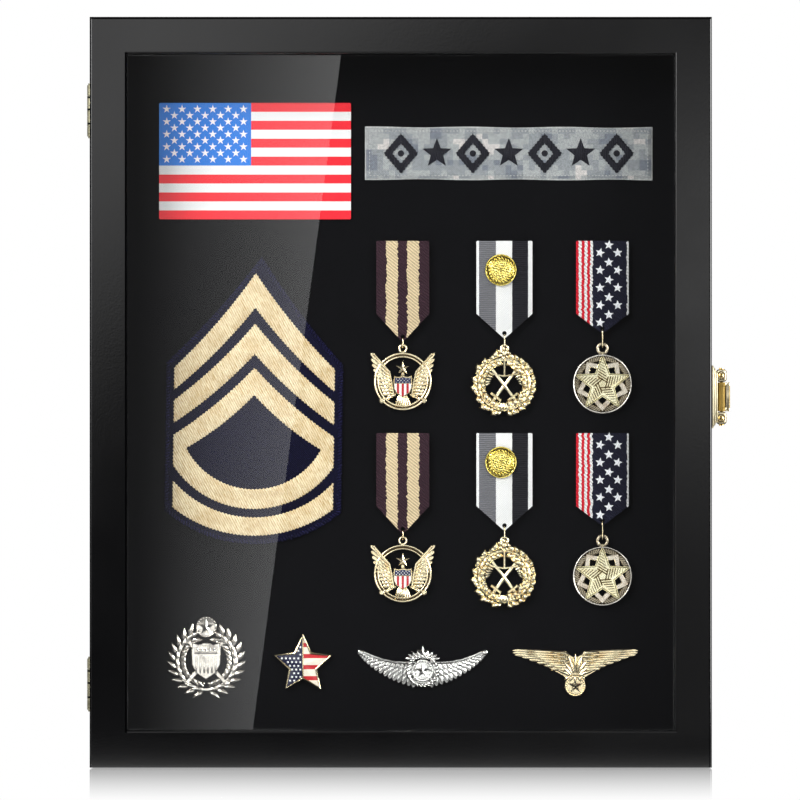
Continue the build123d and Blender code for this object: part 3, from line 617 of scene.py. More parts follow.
@dataclass(frozen=True)
class Wood(Finish):
    """Bare or stained wood with grain along one axis."""

    title: str
    color: Color
    dark: Color
    grain: Place = (1.0, 1.0, 0.06)

    def coat(self, paint: Paint) -> Wire:
        """Builds the shader.

        Args:
            paint: the material in the making.

        Returns:
            The shader.
        """
        where = paint.vector(*(value * share for value, share in zip(paint.place(), self.grain)))
        line = paint.noise(1.6, 4, 0.65, where)
        shade = paint.mix(line.smooth(0.35, 0.7), self.color, self.dark)
        return paint.surface(Base_Color=shade, Roughness=line * 0.2 + 0.55, Normal=paint.bump(line, 0.08))


@dataclass(frozen=True)
class Speckled(Finish):
    """A matt moulded or pressed material with fine grain, such as rubber, fibreboard or plastic."""

    title: str
    color: Color
    light: Color
    roughness: float = 0.7
    grain: float = 0.6

    def coat(self, paint: Paint) -> Wire:
        """Builds the shader.

        Args:
            paint: the material in the making.

        Returns:
            The shader.
        """
        speck = paint.noise(self.grain, 4, 0.7)
        shade = paint.mix(speck.smooth(0.4, 0.7), self.color, self.light)
        return paint.surface(Base_Color=shade, Roughness=speck * 0.15 + (self.roughness - 0.08),
                             Normal=paint.bump(speck, 0.06))


BLACK_LACQUER, BLACK_FELT, GLASS = Lacquer(), Felt(), ClearPane()
BRASS = Plating("polished_brass", rgb(250, 220, 150), rgb(184, 138, 66), 0.12, 1.0)
# Painted shade: a dark brass for gaps and recesses, such as a screw's slot and the gap between two rings.
GAP_SHADE_BRASS = Plating("aged_brass", rgb(150, 124, 84), rgb(84, 66, 40), 0.34)
CHAMPAGNE = Plating("champagne_gold", rgb(255, 240, 202), rgb(206, 168, 108), 0.2, 1.0)
PALE_GOLD = Plating("pale_gold", rgb(255, 249, 214), rgb(220, 198, 142), 0.24)
BUTTON_GOLD = Plating("button_gold", rgb(250, 230, 128), rgb(150, 122, 34), 0.16, 1.0)
BRONZE = Plating("antique_bronze", rgb(176, 164, 142), rgb(76, 64, 50), 0.26, 1.0)
ROSE_GOLD = Plating("rose_gold", rgb(255, 244, 208), rgb(216, 176, 116), 0.18, 1.0)
SILVER = Plating("bright_silver", rgb(255, 254, 252), rgb(168, 164, 158), 0.18, 1.0)
PEWTER = Plating("old_silver", rgb(238, 232, 224), rgb(106, 98, 90), 0.22, 1.0)
# Painted shade: a darker copy of brass for the shaded barrel of the latch lever.
SHADED_BRASS = Plating("shaded_brass", rgb(136, 114, 62), rgb(92, 74, 36), 0.6, 0.3)
# Painted highlight: a pale copy of brass for latch faces that catch the light.
PAINTED_HIGHLIGHT_BRASS = Plating("bright_brass", rgb(255, 246, 214), rgb(240, 212, 150), 0.34, 0.4)
# Painted shade: a dark copy of brass for outlines, gaps between layers, ground under hatching and engraved
# lines.
PAINTED_SHADE_BRASS = Plating("dull_brass", rgb(96, 76, 40), rgb(48, 36, 18), 0.5, 1.0)
COPPERY = Plating("coppery_silver", rgb(232, 222, 206), rgb(150, 118, 86), 0.24, 1.0)
STAR_GOLD = Plating("star_gold", rgb(255, 248, 208), rgb(210, 190, 128), 0.24, 1.0)
HINGE_BRASS = Plating("hinge_brass", rgb(132, 128, 106), rgb(50, 48, 36), 0.4,
                      joints=(329.9, 323.9, 316.9, 47.0, 41.0, 34.0))
STEEL = Plating("zinc_steel", rgb(190, 192, 196), rgb(140, 142, 148), 0.3)
RUBBER = Speckled("black_rubber", (0.012, 0.012, 0.012), (0.03, 0.03, 0.03), 0.75)
STRIP = Speckled("black_strip", (0.008, 0.008, 0.009), (0.018, 0.018, 0.018), 0.6)
SOFT_BOARD = Speckled("soft_board", rgb(150, 128, 98), rgb(186, 164, 128), 0.9, 1.6)
WHITE_PRINT = Speckled("white_print", rgb(244, 244, 248), rgb(252, 252, 254), 0.3)
PANEL_BOARD = Wood("panel_board", rgb(44, 42, 40), rgb(28, 27, 26))
BARE_WOOD = Wood("bare_wood", rgb(196, 164, 120), rgb(150, 116, 76), (1.0, 0.06, 1.0))
GOLD_THREAD = Thread("gold_thread", rgb(250, 236, 202), rgb(182, 142, 76), 62.0)
NAVY_THREAD = Thread("navy_thread", rgb(18, 15, 72), rgb(1, 1, 16), 20.0)
INK_THREAD = Thread("ink_thread", rgb(26, 26, 38), rgb(6, 6, 14), 90.0, 0.5)
PALE_THREAD = Thread("pale_thread", rgb(226, 226, 224), rgb(150, 152, 156), 0.0)
WHITE_THREAD = Thread("white_thread", rgb(254, 254, 255), rgb(206, 208, 218), 60.0)
NAVY_TWILL = Twill("navy_twill", rgb(2, 2, 26), rgb(8, 7, 44), 1.1)


# ---------------------------------------------------------------- shapes
@dataclass
class Shape:
    """Points and faces of one or more closed bodies."""

    points: np.ndarray
    faces: list[tuple[int, ...]]

    def moved(self, x: float = 0, y: float = 0, z: float = 0) -> "Shape":
        """The shape at another place."""
        return Shape(self.points + np.array([x, y, z]), self.faces)

    def scaled(self, x: float, y: float) -> "Shape":
        """The shape stretched in its plane about its origin."""
        return Shape(self.points * np.array([x, y, 1.0]), self.faces)

    def turned(self, degrees: float) -> "Shape":
        """The shape turned in its plane, anticlockwise."""
        c, s = math.cos(math.radians(degrees)), math.sin(math.radians(degrees))
        return Shape(self.points @ np.array([[c, s, 0], [-s, c, 0], [0, 0, 1]]), self.faces)

    def swapped(self, first: int, second: int, third: int) -> "Shape":
        """The shape with its axes taken in another order, the last one turned round."""
        return Shape(self.points[:, (first, second, third)] * np.array([1, 1, -1]), self.faces)

    def doubled(self) -> "Shape":
        """The shape and its mirror image on the left."""
        faces = [tuple(reversed(face)) for face in self.faces]
        return joined([self, Shape(self.points * np.array([-1, 1, 1]), faces)])


def joined(shapes: Iterable[Shape]) -> Shape:
    """Many shapes as one.

    Args:
        shapes: the shapes.

    Returns:
        The shape.
    """
    points, faces, shift = [], [], 0
    for shape in shapes:
        points.append(shape.points)
        faces += [tuple(i + shift for i in f) for f in shape.faces]
        shift += len(shape.points)
    return Shape(np.vstack(points), faces)


def loft(rings: Sequence[np.ndarray]) -> Shape:
    """A body through rings of points from the back to the front, closed; a ring of one point is its tip.

    Args:
        rings: the rings, from the back to the front.

    Returns:
        The shape.
    """
    count, start = len(rings[0]), 0
    faces = [tuple(reversed(range(count)))]
    for lower, upper in zip(rings, rings[1:]):
        over = start + len(lower)
        for i in range(count):
            j = (i + 1) % count
            faces.append((start + i, start + j, *((over,) if len(upper) == 1 else (over + j, over + i))))
        start = over
    if len(rings[-1]) > 1:
        faces.append(tuple(range(start, start + count)))
    return Shape(np.vstack(rings), faces)


def mound(outline: Sequence[Point], levels: Sequence[Point], centre: Point = (0, 0)) -> Shape:
    """A stack of scaled outlines, closed at both ends.

    Args:
        outline: the outline, anticlockwise.
        levels: scale and height of each copy from the back to the front; a scale of 0 ends in a point.
        centre: the point that the scaling leaves alone.

    Returns:
        The shape.
    """
    middle = np.array([*centre, 0.0])
    flat = np.array([[a, b, 0.0] for a, b in outline])
    rings = [middle + (flat - middle) * scale + np.array([0, 0, height]) for scale, height in levels]
    return loft([ring if scale else ring[:1] for ring, (scale, _) in zip(rings, levels)])


def slab(outline: Sequence[Point], thickness: float, edge: float) -> Shape:
    """A flat piece with a narrow chamfer round its front; its outline is anticlockwise.

    Args:
        outline: the outline, anticlockwise.
        thickness: its thickness.
        edge: width of its chamfer.

    Returns:
        The shape.
    """
    flat = np.array(outline)
    levels = ((flat, 0.0), (flat, thickness - edge), (inset_outline(flat, edge), thickness))
    return loft([np.column_stack([ring, np.full(len(flat), height)]) for ring, height in levels])


def inset_outline(flat: np.ndarray, distance: float) -> np.ndarray:
    """An outline moved inwards by a distance, with its sharp corners held back.

    Args:
        flat: the outline's points, anticlockwise.
        distance: how far it moves.

    Returns:
        The points.
    """
    first, second = flat - np.roll(flat, 1, 0), np.roll(flat, -1, 0) - flat
    both = sum(side / np.maximum(np.linalg.norm(side, axis=1, keepdims=True), 1e-9)
               for side in (first, second))
    length = np.maximum(np.linalg.norm(both, axis=1, keepdims=True), 1e-6)
    normal = np.column_stack([-both[:, 1], both[:, 0]]) / length
    return flat + normal * distance / np.clip(length / 2, 0.35, 1.0)


def linked(name: str, data: bpy.types.ID) -> bpy.types.Object:
    """A new object in the scene.

    Args:
        name: its name.
        data: the mesh, curve, light or camera that it shows.

    Returns:
        The object.
    """
    thing = bpy.data.objects.new(name, data)
    bpy.context.scene.collection.objects.link(thing)
    return thing


def evaluated(thing: bpy.types.Object) -> Shape:
    """An object's final mesh as a shape; the object and its modifier are removed.

    Args:
        thing: the object.

    Returns:
        The shape.
    """
    mesh = bpy.data.meshes.new_from_object(thing.evaluated_get(bpy.context.evaluated_depsgraph_get()))
    flat = np.zeros(len(mesh.vertices) * 3)
    mesh.vertices.foreach_get("co", flat)
    shape = Shape(flat.reshape(-1, 3), [tuple(p.vertices) for p in mesh.polygons])
    thing.modifiers.clear()
    bpy.data.objects.remove(thing)
    bpy.data.meshes.remove(mesh)
    return shape


def swept(paths: Sequence[Sequence[Place]], closed: bool, **settings: object) -> Shape:
    """The mesh of a bevelled curve.

    Args:
        paths: the points of each of its splines.
        closed: whether each spline meets itself.
        **settings: the curve's properties.

    Returns:
        The shape.
    """
    curve = bpy.data.curves.new("curve", "CURVE")
    for key, value in settings.items():
        setattr(curve, key, value)
    for path in paths:
        spline = curve.splines.new("POLY")
        spline.points.add(len(path) - 1)
        spline.points.foreach_set("co", [c for p in path for c in (*p, 1)])
        spline.use_cyclic_u = closed
    shape = evaluated(linked("curve", curve))
    bpy.data.curves.remove(curve)
    return shape


def plate(loops: Sequence[Sequence[Point]], thickness: float, edge: float) -> Shape:
    """A flat piece of some thickness, its back at 0, from an outline and holes, with its edge rounded.

    Args:
        loops: the outline and its holes.
        thickness: its thickness.
        edge: radius of its rounded edge.

    Returns:
        The shape.
    """
    return swept([[(a, b, 0) for a, b in loop] for loop in loops], True, dimensions="2D", fill_mode="BOTH",
                 extrude=thickness / 2 - edge, bevel_depth=edge, bevel_resolution=1,
                 offset=-edge).moved(z=thickness / 2)


def tube(path: Sequence[Place], radius: float, closed: bool = False, sides: int = 1) -> Shape:
    """A round wire along points; sides is the bevel resolution of its section."""
    return swept([path], closed, dimensions="3D", bevel_depth=radius, bevel_resolution=sides,
                 use_fill_caps=not closed)


def circle(radius: float, steps: int = 24, x: float = 0, y: float = 0) -> list[Point]:
    """Points round a circle, anticlockwise."""
    angles = [math.tau * i / steps for i in range(steps)]
    return [(x + radius * math.cos(a), y + radius * math.sin(a)) for a in angles]


def lathe(profile: Sequence[Point], steps: int) -> Shape:
    """A body turned about its z axis from radius and height, back to front; a last radius of 0 is a tip."""
    return mound(circle(1, steps), profile)


def hoop(outer: float, inner: float, thickness: float, steps: int = 64) -> Shape:
    """A ring with a rounded front, its back at 0, from its two radii.

    Args:
        outer: its outer radius.
        inner: its inner radius.
        thickness: its thickness.
        steps: number of its sides.

    Returns:
        The shape.
    """
    middle, half = (outer + inner) / 2, (outer - inner) / 2
    rise, foot = half * 0.8, thickness - half * 0.8
    angles = [math.pi * k / 4 for k in (1, 2, 3)]
    front = [(middle + half * math.cos(a), foot + rise * math.sin(a)) for a in angles]
    section = [(outer, 0.0), (outer, foot), *front, (inner, foot), (inner, 0.0)]
    count = len(section)
    points, faces = [], []
    for step in range(steps):
        a = math.tau * step / steps
        points += [(r * math.cos(a), r * math.sin(a), h) for r, h in section]
        near, far = step * count, (step + 1) % steps * count
        faces += [(near + k, far + k, far + (k + 1) % count, near + (k + 1) % count) for k in range(count)]
    return Shape(np.array(points), faces)


def star(radius: float, inner: float = 0.382, points: int = 5) -> list[Point]:
    """A star's outline, one point up; inner is the share that its notches reach.

    Args:
        radius: its radius.
        inner: share of the radius that its notches reach.
        points: number of its points.

    Returns:
        The points.
    """
    angles = [math.pi / 2 + math.pi * i / points for i in range(2 * points)]
    reaches = [radius, radius * inner] * points
    return [(r * math.cos(a), r * math.sin(a)) for r, a in zip(reaches, angles)]


def rounded(width: float, height: float, radius: float, steps: int = 4) -> list[Point]:
    """A rectangle about the origin with rounded corners, anticlockwise.

    Args:
        width: its width.
        height: its height.
        radius: radius of its corners.
        steps: points of each corner.

    Returns:
        The points.
    """
    corners = [(sx * (width / 2 - radius), sy * (height / 2 - radius), math.pi / 2 * number)
               for number, (sx, sy) in enumerate(((1, 1), (-1, 1), (-1, -1), (1, -1)))]
    turns = [math.pi / 2 * step / (steps - 1) for step in range(steps)]
    return [(x + radius * math.cos(a + t), y + radius * math.sin(a + t))
            for x, y, a in corners for t in turns]


def block(width: float, height: float) -> list[Point]:
    """A rectangle about the origin, anticlockwise from its lower left corner."""
    a, b = width / 2, height / 2
    return [(-a, -b), (a, -b), (a, b), (-a, b)]


def bar(half: float, foot: float, top: float, upper: float | None = None) -> list[Point]:
    """An upright bar, wide by half to each side at its foot and by upper at its top, from its lower right."""
    upper = half if upper is None else upper
    return [(half, foot), (upper, top), (-upper, top), (-half, foot)]


def both_sides(right: Sequence[Point]) -> list[Point]:
    """The right side of an outline, which begins and ends on the middle line, with its mirror image."""
    return [*right, *((-a, b) for a, b in reversed(right[1:-1]))]


def leaf(length: float, width: float, height: float) -> Shape:
    """A pointed leaf or feather with a raised middle, from the origin along x.

    Args:
        length: its length.
        width: its width.
        height: how high its middle is raised.

    Returns:
        The shape.
    """
    side = [(length * i / 5, width / 2 * math.sin(math.pi * (i / 5) ** 0.8)) for i in range(6)]
    outline = [(a, -b) for a, b in side] + side[-2:0:-1]
    return mound(outline, [(1, 0), (1, height * 0.3), (0.45, height), (0, height * 1.15)], (length * 0.5, 0))


def feather(length: float, width: float, height: float) -> Shape:
    """A raised feather with a rounded end, from the origin along x.

    Args:
        length: its length.
        width: its width.
        height: how high its middle is raised.

    Returns:
        The shape.
    """
    side = [(0.0, 0.3), (0.5, 0.5), (0.8, 0.47), (0.94, 0.3)]
    outline = [(length * a, -width * b) for a, b in side] + [(length, 0)]
    outline += [(length * a, width * b) for a, b in reversed(side)]
    return mound(outline, [(1, 0), (1, height * 0.45), (0.45, height)], (length * 0.55, 0))


def pellet(radius: float, steps: int, levels: Sequence[Point], y: float = 0) -> Shape:
    """A small round mound over the middle line."""
    return mound(circle(radius, steps, 0, y), levels, (0, y))


def star_boss(radius: float, shoulder: float, height: float) -> Shape:
    """A raised star with a peak."""
    return mound(star(radius), [(1, 0), (1, shoulder), (0, height)])


def toothed(outline: Sequence[Point], pitch: float = 0.9, depth: float = 0.26) -> list[Point]:
    """A closed outline with fine teeth, as the ends of satin stitches leave.

    Args:
        outline: the outline.
        pitch: length of a tooth.
        depth: how far the teeth swing to each side.

    Returns:
        The points.
    """
    flat = np.array([*outline, outline[0]])
    reach = np.concatenate([[0], np.cumsum(np.hypot(*np.diff(flat, axis=0).T))])
    places = np.linspace(0, reach[-1], 2 * round(reach[-1] / pitch / 2), endpoint=False)
    spots = np.stack([np.interp(places, reach, flat[:, k]) for k in (0, 1)], 1)
    along = np.roll(spots, -1, 0) - np.roll(spots, 1, 0)
    along /= np.maximum(np.hypot(along[:, 0], along[:, 1]), 1e-6)[:, None]
    swing = np.where(np.arange(len(spots)) % 2, depth, -depth)[:, None]
    return [tuple(p) for p in spots + np.stack([along[:, 1], -along[:, 0]], 1) * swing]


def shield(width: float, height: float) -> list[Point]:
    """A shield's outline with a pointed foot, its middle at the origin."""
    side = [(0, -1), (0.72, -0.6), (0.97, -0.15), (1, 0.5), (0.94, 1), (0.5, 0.9), (0, 1)]
    return both_sides([(a * width / 2, b * height / 2) for a, b in side])


def cloth_sheet(across: int, up: int, place: Callable[[int, int, int], Place]) -> Shape:
    """A sheet of cloth as a closed body.

    Args:
        across: its cells from left to right.
        up: its cells from foot to top.
        place: the point at a column and a row of its back, 0, or its front, 1.

    Returns:
        The shape.
    """
    row, sheet = across + 1, (across + 1) * (up + 1)
    points = [place(i, j, layer) for layer in (0, 1) for j in range(up + 1) for i in range(row)]
    faces = []
    for a in (j * row + i for j in range(up) for i in range(across)):
        b, c = a + row, a + sheet
        faces += [(c, c + 1, c + row + 1, c + row), (a, b, b + 1, a + 1)]
    rim = list(range(row)) + [j * row + across for j in range(1, up + 1)]
    rim += [up * row + i for i in range(across - 1, -1, -1)] + [j * row for j in range(up - 1, 0, -1)]
    faces += [(a, b, b + sheet, a + sheet) for a, b in zip(rim, rim[1:] + rim[:1])]
    return Shape(np.array(points), faces)


class Piece:
    """A named piece that is put together from shapes, each with its finish."""

    def __init__(self, name: str) -> None:
        """Starts an empty piece."""
        self.name = name
        self.parts: list[tuple[Shape, Finish]] = []

    def add(self, shape: Shape, finish: Finish, x: float = 0, z: float = 0, depth: float = 0) -> None:
        """Puts a flat shape on the board.

        Args:
            shape: the shape, in its own plane.
            finish: its finish.
            x: place across the board.
            z: height over the floor.
            depth: y of the shape's own zero; it comes forwards from there.
        """
        a, b, c = shape.points.T
        self.parts.append((Shape(np.column_stack([a + x, depth - c, b + z]), shape.faces), finish))

    def build(self, crease: float) -> bpy.types.Object:
        """Makes the object, at the origin and in metres; edges sharper than crease degrees stay sharp.

        Args:
            crease: edges sharper than this many degrees stay sharp.

        Returns:
            The object.
        """
        whole = joined(shape for shape, _ in self.parts)
        finishes = list(dict.fromkeys(finish for _, finish in self.parts))
        mesh = bpy.data.meshes.new(self.name)
        mesh.from_pydata(whole.points * MM, [], whole.faces)
        marks = [finishes.index(finish) for shape, finish in self.parts for _ in shape.faces]
        mesh.polygons.foreach_set("material_index", marks)
        bm = bmesh.new()
        bm.from_mesh(mesh)
        bmesh.ops.remove_doubles(bm, verts=bm.verts, dist=2e-6)
        bmesh.ops.dissolve_degenerate(bm, edges=bm.edges, dist=1e-7)
        bmesh.ops.recalc_face_normals(bm, faces=bm.faces)
        bm.to_mesh(mesh)
        bm.free()
        mesh.shade_smooth()
        mesh.set_sharp_from_angle(angle=math.radians(crease))
        for finish in finishes:
            mesh.materials.append(finish.material())
        return linked(self.name, mesh)

    def finish(self, body: str, slot: str, node: str = "", crease: float = 32.0) -> bpy.types.Object:
        """Args:
            body: the body that it rides on.
            slot: what can be refinished in it; not used.
            node: the construction piece that it stands for, if any.
            crease: faces that meet at more than this angle keep a sharp edge.

        Returns:
            The object.
        """
        thing = self.build(crease)
        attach(thing, body)
        if node:
            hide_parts(node)
        log.info("%s: %d faces", thing.name, len(thing.data.polygons))
        return thing


# ---------------------------------------------------------------- geometry nodes
@dataclass(frozen=True)
class Spot:
    """Where one copy of a repeated shape goes: its place, its turn in the plane and its size."""

    x: float
    y: float
    turn: float = 0.0
    size: float = 1.0
    z: float = 0.0


def ring(count: int, radius: float, turn: float = 0, y: float = 0, start: float = 0,
         z: float = 0) -> list[Spot]:
    """Spots round a circle, each turned as far as its place is round it and by a further turn.

    Args:
        count: their number.
        radius: the circle's radius.
        turn: the further turn, in degrees.
        y: height of the circle's middle.
        start: place of the first one, in steps.
        z: how far they are raised.

    Returns:
        The spots.
    """
    angles = [math.tau * (number + start) / count for number in range(count)]
    return [Spot(radius * math.cos(a), y + radius * math.sin(a), math.degrees(a) + turn, z=z) for a in angles]


class Copies:
    """A Geometry Nodes tree that sets a small shape on points and ends in real copies with a material."""

    def __init__(self, name: str, inputs: Sequence[str]) -> None:
        """Starts the tree, with the inputs' names; they are numbers.

        Args:
            name: its name.
            inputs: the further inputs' names; they are numbers.
        """
        self.tree = bpy.data.node_groups.new(name, "GeometryNodeTree")
        kinds = {"Points": "Geometry", "Shape": "Object", **dict.fromkeys(inputs, "Float"),
                 "Finish": "Material"}
        face = self.tree.interface
        self.keys = {label: face.new_socket(label, in_out="INPUT", socket_type=f"NodeSocket{kind}").identifier
                     for label, kind in kinds.items()}
        face.new_socket("Result", in_out="OUTPUT", socket_type="NodeSocketGeometry")
        self.entry = self.tree.nodes.new("NodeGroupInput").outputs

    def add(self, kind: str, settings: dict | None = None,
            inputs: dict | None = None) -> bpy.types.NodeSocket:
        """Adds a node with its settings and its sockets' values or links, and gives its first output.

        Args:
            kind: the node's type.
            settings: its properties.
            inputs: its sockets' values or links.

        Returns:
            The output.
        """
        node = self.tree.nodes.new(kind)
        for key, value in (settings or {}).items():
            setattr(node, key, value)
        for key, value in (inputs or {}).items():
            if isinstance(value, bpy.types.NodeSocket):
                self.tree.links.new(value, node.inputs[key])
            else:
                node.inputs[key].default_value = value
        return node.outputs[0]

    def end(self, points: bpy.types.NodeSocket, euler: bpy.types.NodeSocket,
            **scale: bpy.types.NodeSocket) -> None:
        """Sets the shape on the points, turned and perhaps scaled, and ends the tree.

        Args:
            points: the points.
            euler: the turn at each point.
            **scale: the size at each point, as Scale.
        """
        source = self.add("GeometryNodeObjectInfo", None, {"Object": self.entry["Shape"]}).node
        turn = self.add("FunctionNodeEulerToRotation", None, {0: euler})
        inputs = {"Points": points, "Instance": source.outputs["Geometry"], "Rotation": turn, **scale}
        copies = self.add("GeometryNodeInstanceOnPoints", None, inputs)
        real = self.add("GeometryNodeRealizeInstances", None, {0: copies})
        inputs = {"Geometry": real, "Material": self.entry["Finish"]}
        dressed = self.add("GeometryNodeSetMaterial", None, inputs)
        self.tree.links.new(dressed, self.tree.nodes.new("NodeGroupOutput").inputs[0])

    def run(self, shape: Shape, mesh: bpy.types.Mesh, finish: Finish, **values: float) -> Shape:
        """Runs the tree.

        Args:
            shape: the small shape.
            mesh: the points that it starts from.
            finish: the copies' finish.
            **values: the other inputs' values.

        Returns:
            All the copies as one shape.
        """
        small = bpy.data.meshes.new("small")
        small.from_pydata(shape.points, [], shape.faces)
        source, holder = linked("small", small), linked("nodes_holder", mesh)
        modifier = holder.modifiers.new("nodes", "NODES")
        modifier.node_group = self.tree
        for label, value in {"Shape": source, "Finish": finish.material(), **values}.items():
            modifier[self.keys[label]] = value
        result = evaluated(holder)
        bpy.data.objects.remove(source)
        for used in (mesh, small):
            bpy.data.meshes.remove(used)
        return result


class Repeater(Copies):
    """Repeats one small shape at many spots."""

    def __init__(self) -> None:
        """Builds the tree."""
        super().__init__("repeat_shape", ["Size"])
        turn = self.add("GeometryNodeInputNamedAttribute", {"data_type": "FLOAT_VECTOR"}, {"Name": "turn"})
        size = self.add("GeometryNodeInputNamedAttribute", {"data_type": "FLOAT"}, {"Name": "size"})
        total = self.add("ShaderNodeMath", {"operation": "MULTIPLY"}, {0: size, 1: self.entry["Size"]})
        self.end(self.entry["Points"], turn, Scale=total)

    def spread(self, shape: Shape, spots: Sequence[Spot], finish: Finish, size: float = 1.0) -> Shape:
        """Copies a shape to each spot, all scaled by size.

        Args:
            shape: the small shape.
            spots: where the copies go.
            finish: the finish of the copies.
            size: a scale for all of them.

        Returns:
            The shape.
        """
        mesh = bpy.data.meshes.new("spots")
        mesh.from_pydata([(s.x, s.y, s.z) for s in spots], [], [])
        turns = mesh.attributes.new("turn", "FLOAT_VECTOR", "POINT")
        turns.data.foreach_set("vector", [c for s in spots for c in (0, 0, math.radians(s.turn))])
        sizes = mesh.attributes.new("size", "FLOAT", "POINT")
        sizes.data.foreach_set("value", [s.size for s in spots])
        return self.run(shape, mesh, finish, Size=size)


class Stitcher(Copies):
    """Sets one small shape along a closed path at an even pitch, turned with the path."""

    def __init__(self) -> None:
        """Builds the tree."""
        super().__init__("stitch_path", ["Pitch", "Lean"])
        curve = self.add("GeometryNodeMeshToCurve", None, {0: self.entry["Points"]})
        even = self.add("GeometryNodeResampleCurve", {"mode": "LENGTH"},
                        {"Curve": curve, "Length": self.entry["Pitch"]})
        tangent = self.add("GeometryNodeInputTangent")
        split = self.add("ShaderNodeSeparateXYZ", None, {0: tangent}).node.outputs
        angle = self.add("ShaderNodeMath", {"operation": "ARCTAN2"}, {0: split[1], 1: split[0]})
        leant = self.add("ShaderNodeMath", {"operation": "ADD"}, {0: angle, 1: self.entry["Lean"]})
        self.end(even, self.add("ShaderNodeCombineXYZ", None, {2: leant}))

    def sew(self, shape: Shape, path: Sequence[Point], finish: Finish, pitch: float,
            lean: float = 0) -> Shape:
        """Sets a shape that lies along x at each pitch of the path, turned against it by lean degrees.

        Args:
            shape: the stitch, which lies along x.
            path: the closed path.
            finish: the finish of the stitches.
            pitch: length from stitch to stitch.
            lean: degrees that they turn against the path.

        Returns:
            The shape.
        """
        mesh = bpy.data.meshes.new("path")
        count = len(path)
        mesh.from_pydata([(a, b, 0) for a, b in path], [(i, (i + 1) % count) for i in range(count)], [])
        return self.run(shape, mesh, finish, Pitch=pitch, Lean=math.radians(lean))


REPEATER, STITCHER = Repeater(), Stitcher()


# ---------------------------------------------------------------- the board's layers and rows
@dataclass(frozen=True)
class Layers:
    """Depths of the flat layers, as y in millimetres; the front is less."""

    felt: float = 4.5
    ribbon_back: float = 2.9
    ribbon_front: float = 1.9
    pendant_back: float = 3.4


LAYERS = Layers()


class Row(Enum):
    """The two rows of medals, with the height of their ribbons' tops."""

    UPPER = ("upper", 259.793)
    LOWER = ("lower", 164.112)

    def __init__(self, label: str, top: float) -> None:
        """Names the row's values."""
        self.label, self.top = label, top


class Kind(Enum):
    """The three medals, with their place across the board and their ribbons' width and length to the tip."""

    WINGED = ("winged", 1.011, 26.4, 50.5)
    WREATH = ("wreath", 51.611, 27.9, 48.8)
    STARRED = ("starred", 100.386, 26.2, 46.3)

    def __init__(self, label: str, x: float, width: float, length: float) -> None:
        """Names the medal's values."""
        self.label, self.x, self.width, self.length = label, x, width, length


# ---------------------------------------------------------------- case and door
class Woodwork:
    """The case, its back and the door: construction pieces that keep their shape and get their finish."""

    finishes: ClassVar[dict[Finish, tuple[str, ...]]] = {
        BLACK_LACQUER: ("case_wall", "door_rail", "door_stile"),
        BARE_WOOD: ("case_biscuits", "door_biscuits"), PANEL_BOARD: ("back_panel",),
        SOFT_BOARD: ("pin_board",), GLASS: ("door_pane",), STRIP: ("pane_retainers",),
        STEEL: ("retainer_brads", "back_panel_screws", "hanger", "badge_pins", "ribbon_bars"),
        RUBBER: ("wall_bumpers", "stop_pads"), HINGE_BRASS: ("hinge",), BRASS: ("latch", "keeper_screws"),
        CHAMPAGNE: ("link_rings",), BLACK_FELT: ("felt_cover", "wall_liners"),
    }

    def build(self) -> None:
        """Gives each construction piece the finish with the longest start of its name."""
        starts = {start: finish for finish, group in self.finishes.items() for start in group}
        for name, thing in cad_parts.items():
            fitting = [start for start in starts if name.startswith(start)]
            if fitting:
                finish = starts[max(fitting, key=len)]
                thing.data.materials.clear()
                thing.data.materials.append(finish.material())
                log.info("%s: %s", name, finish.title)


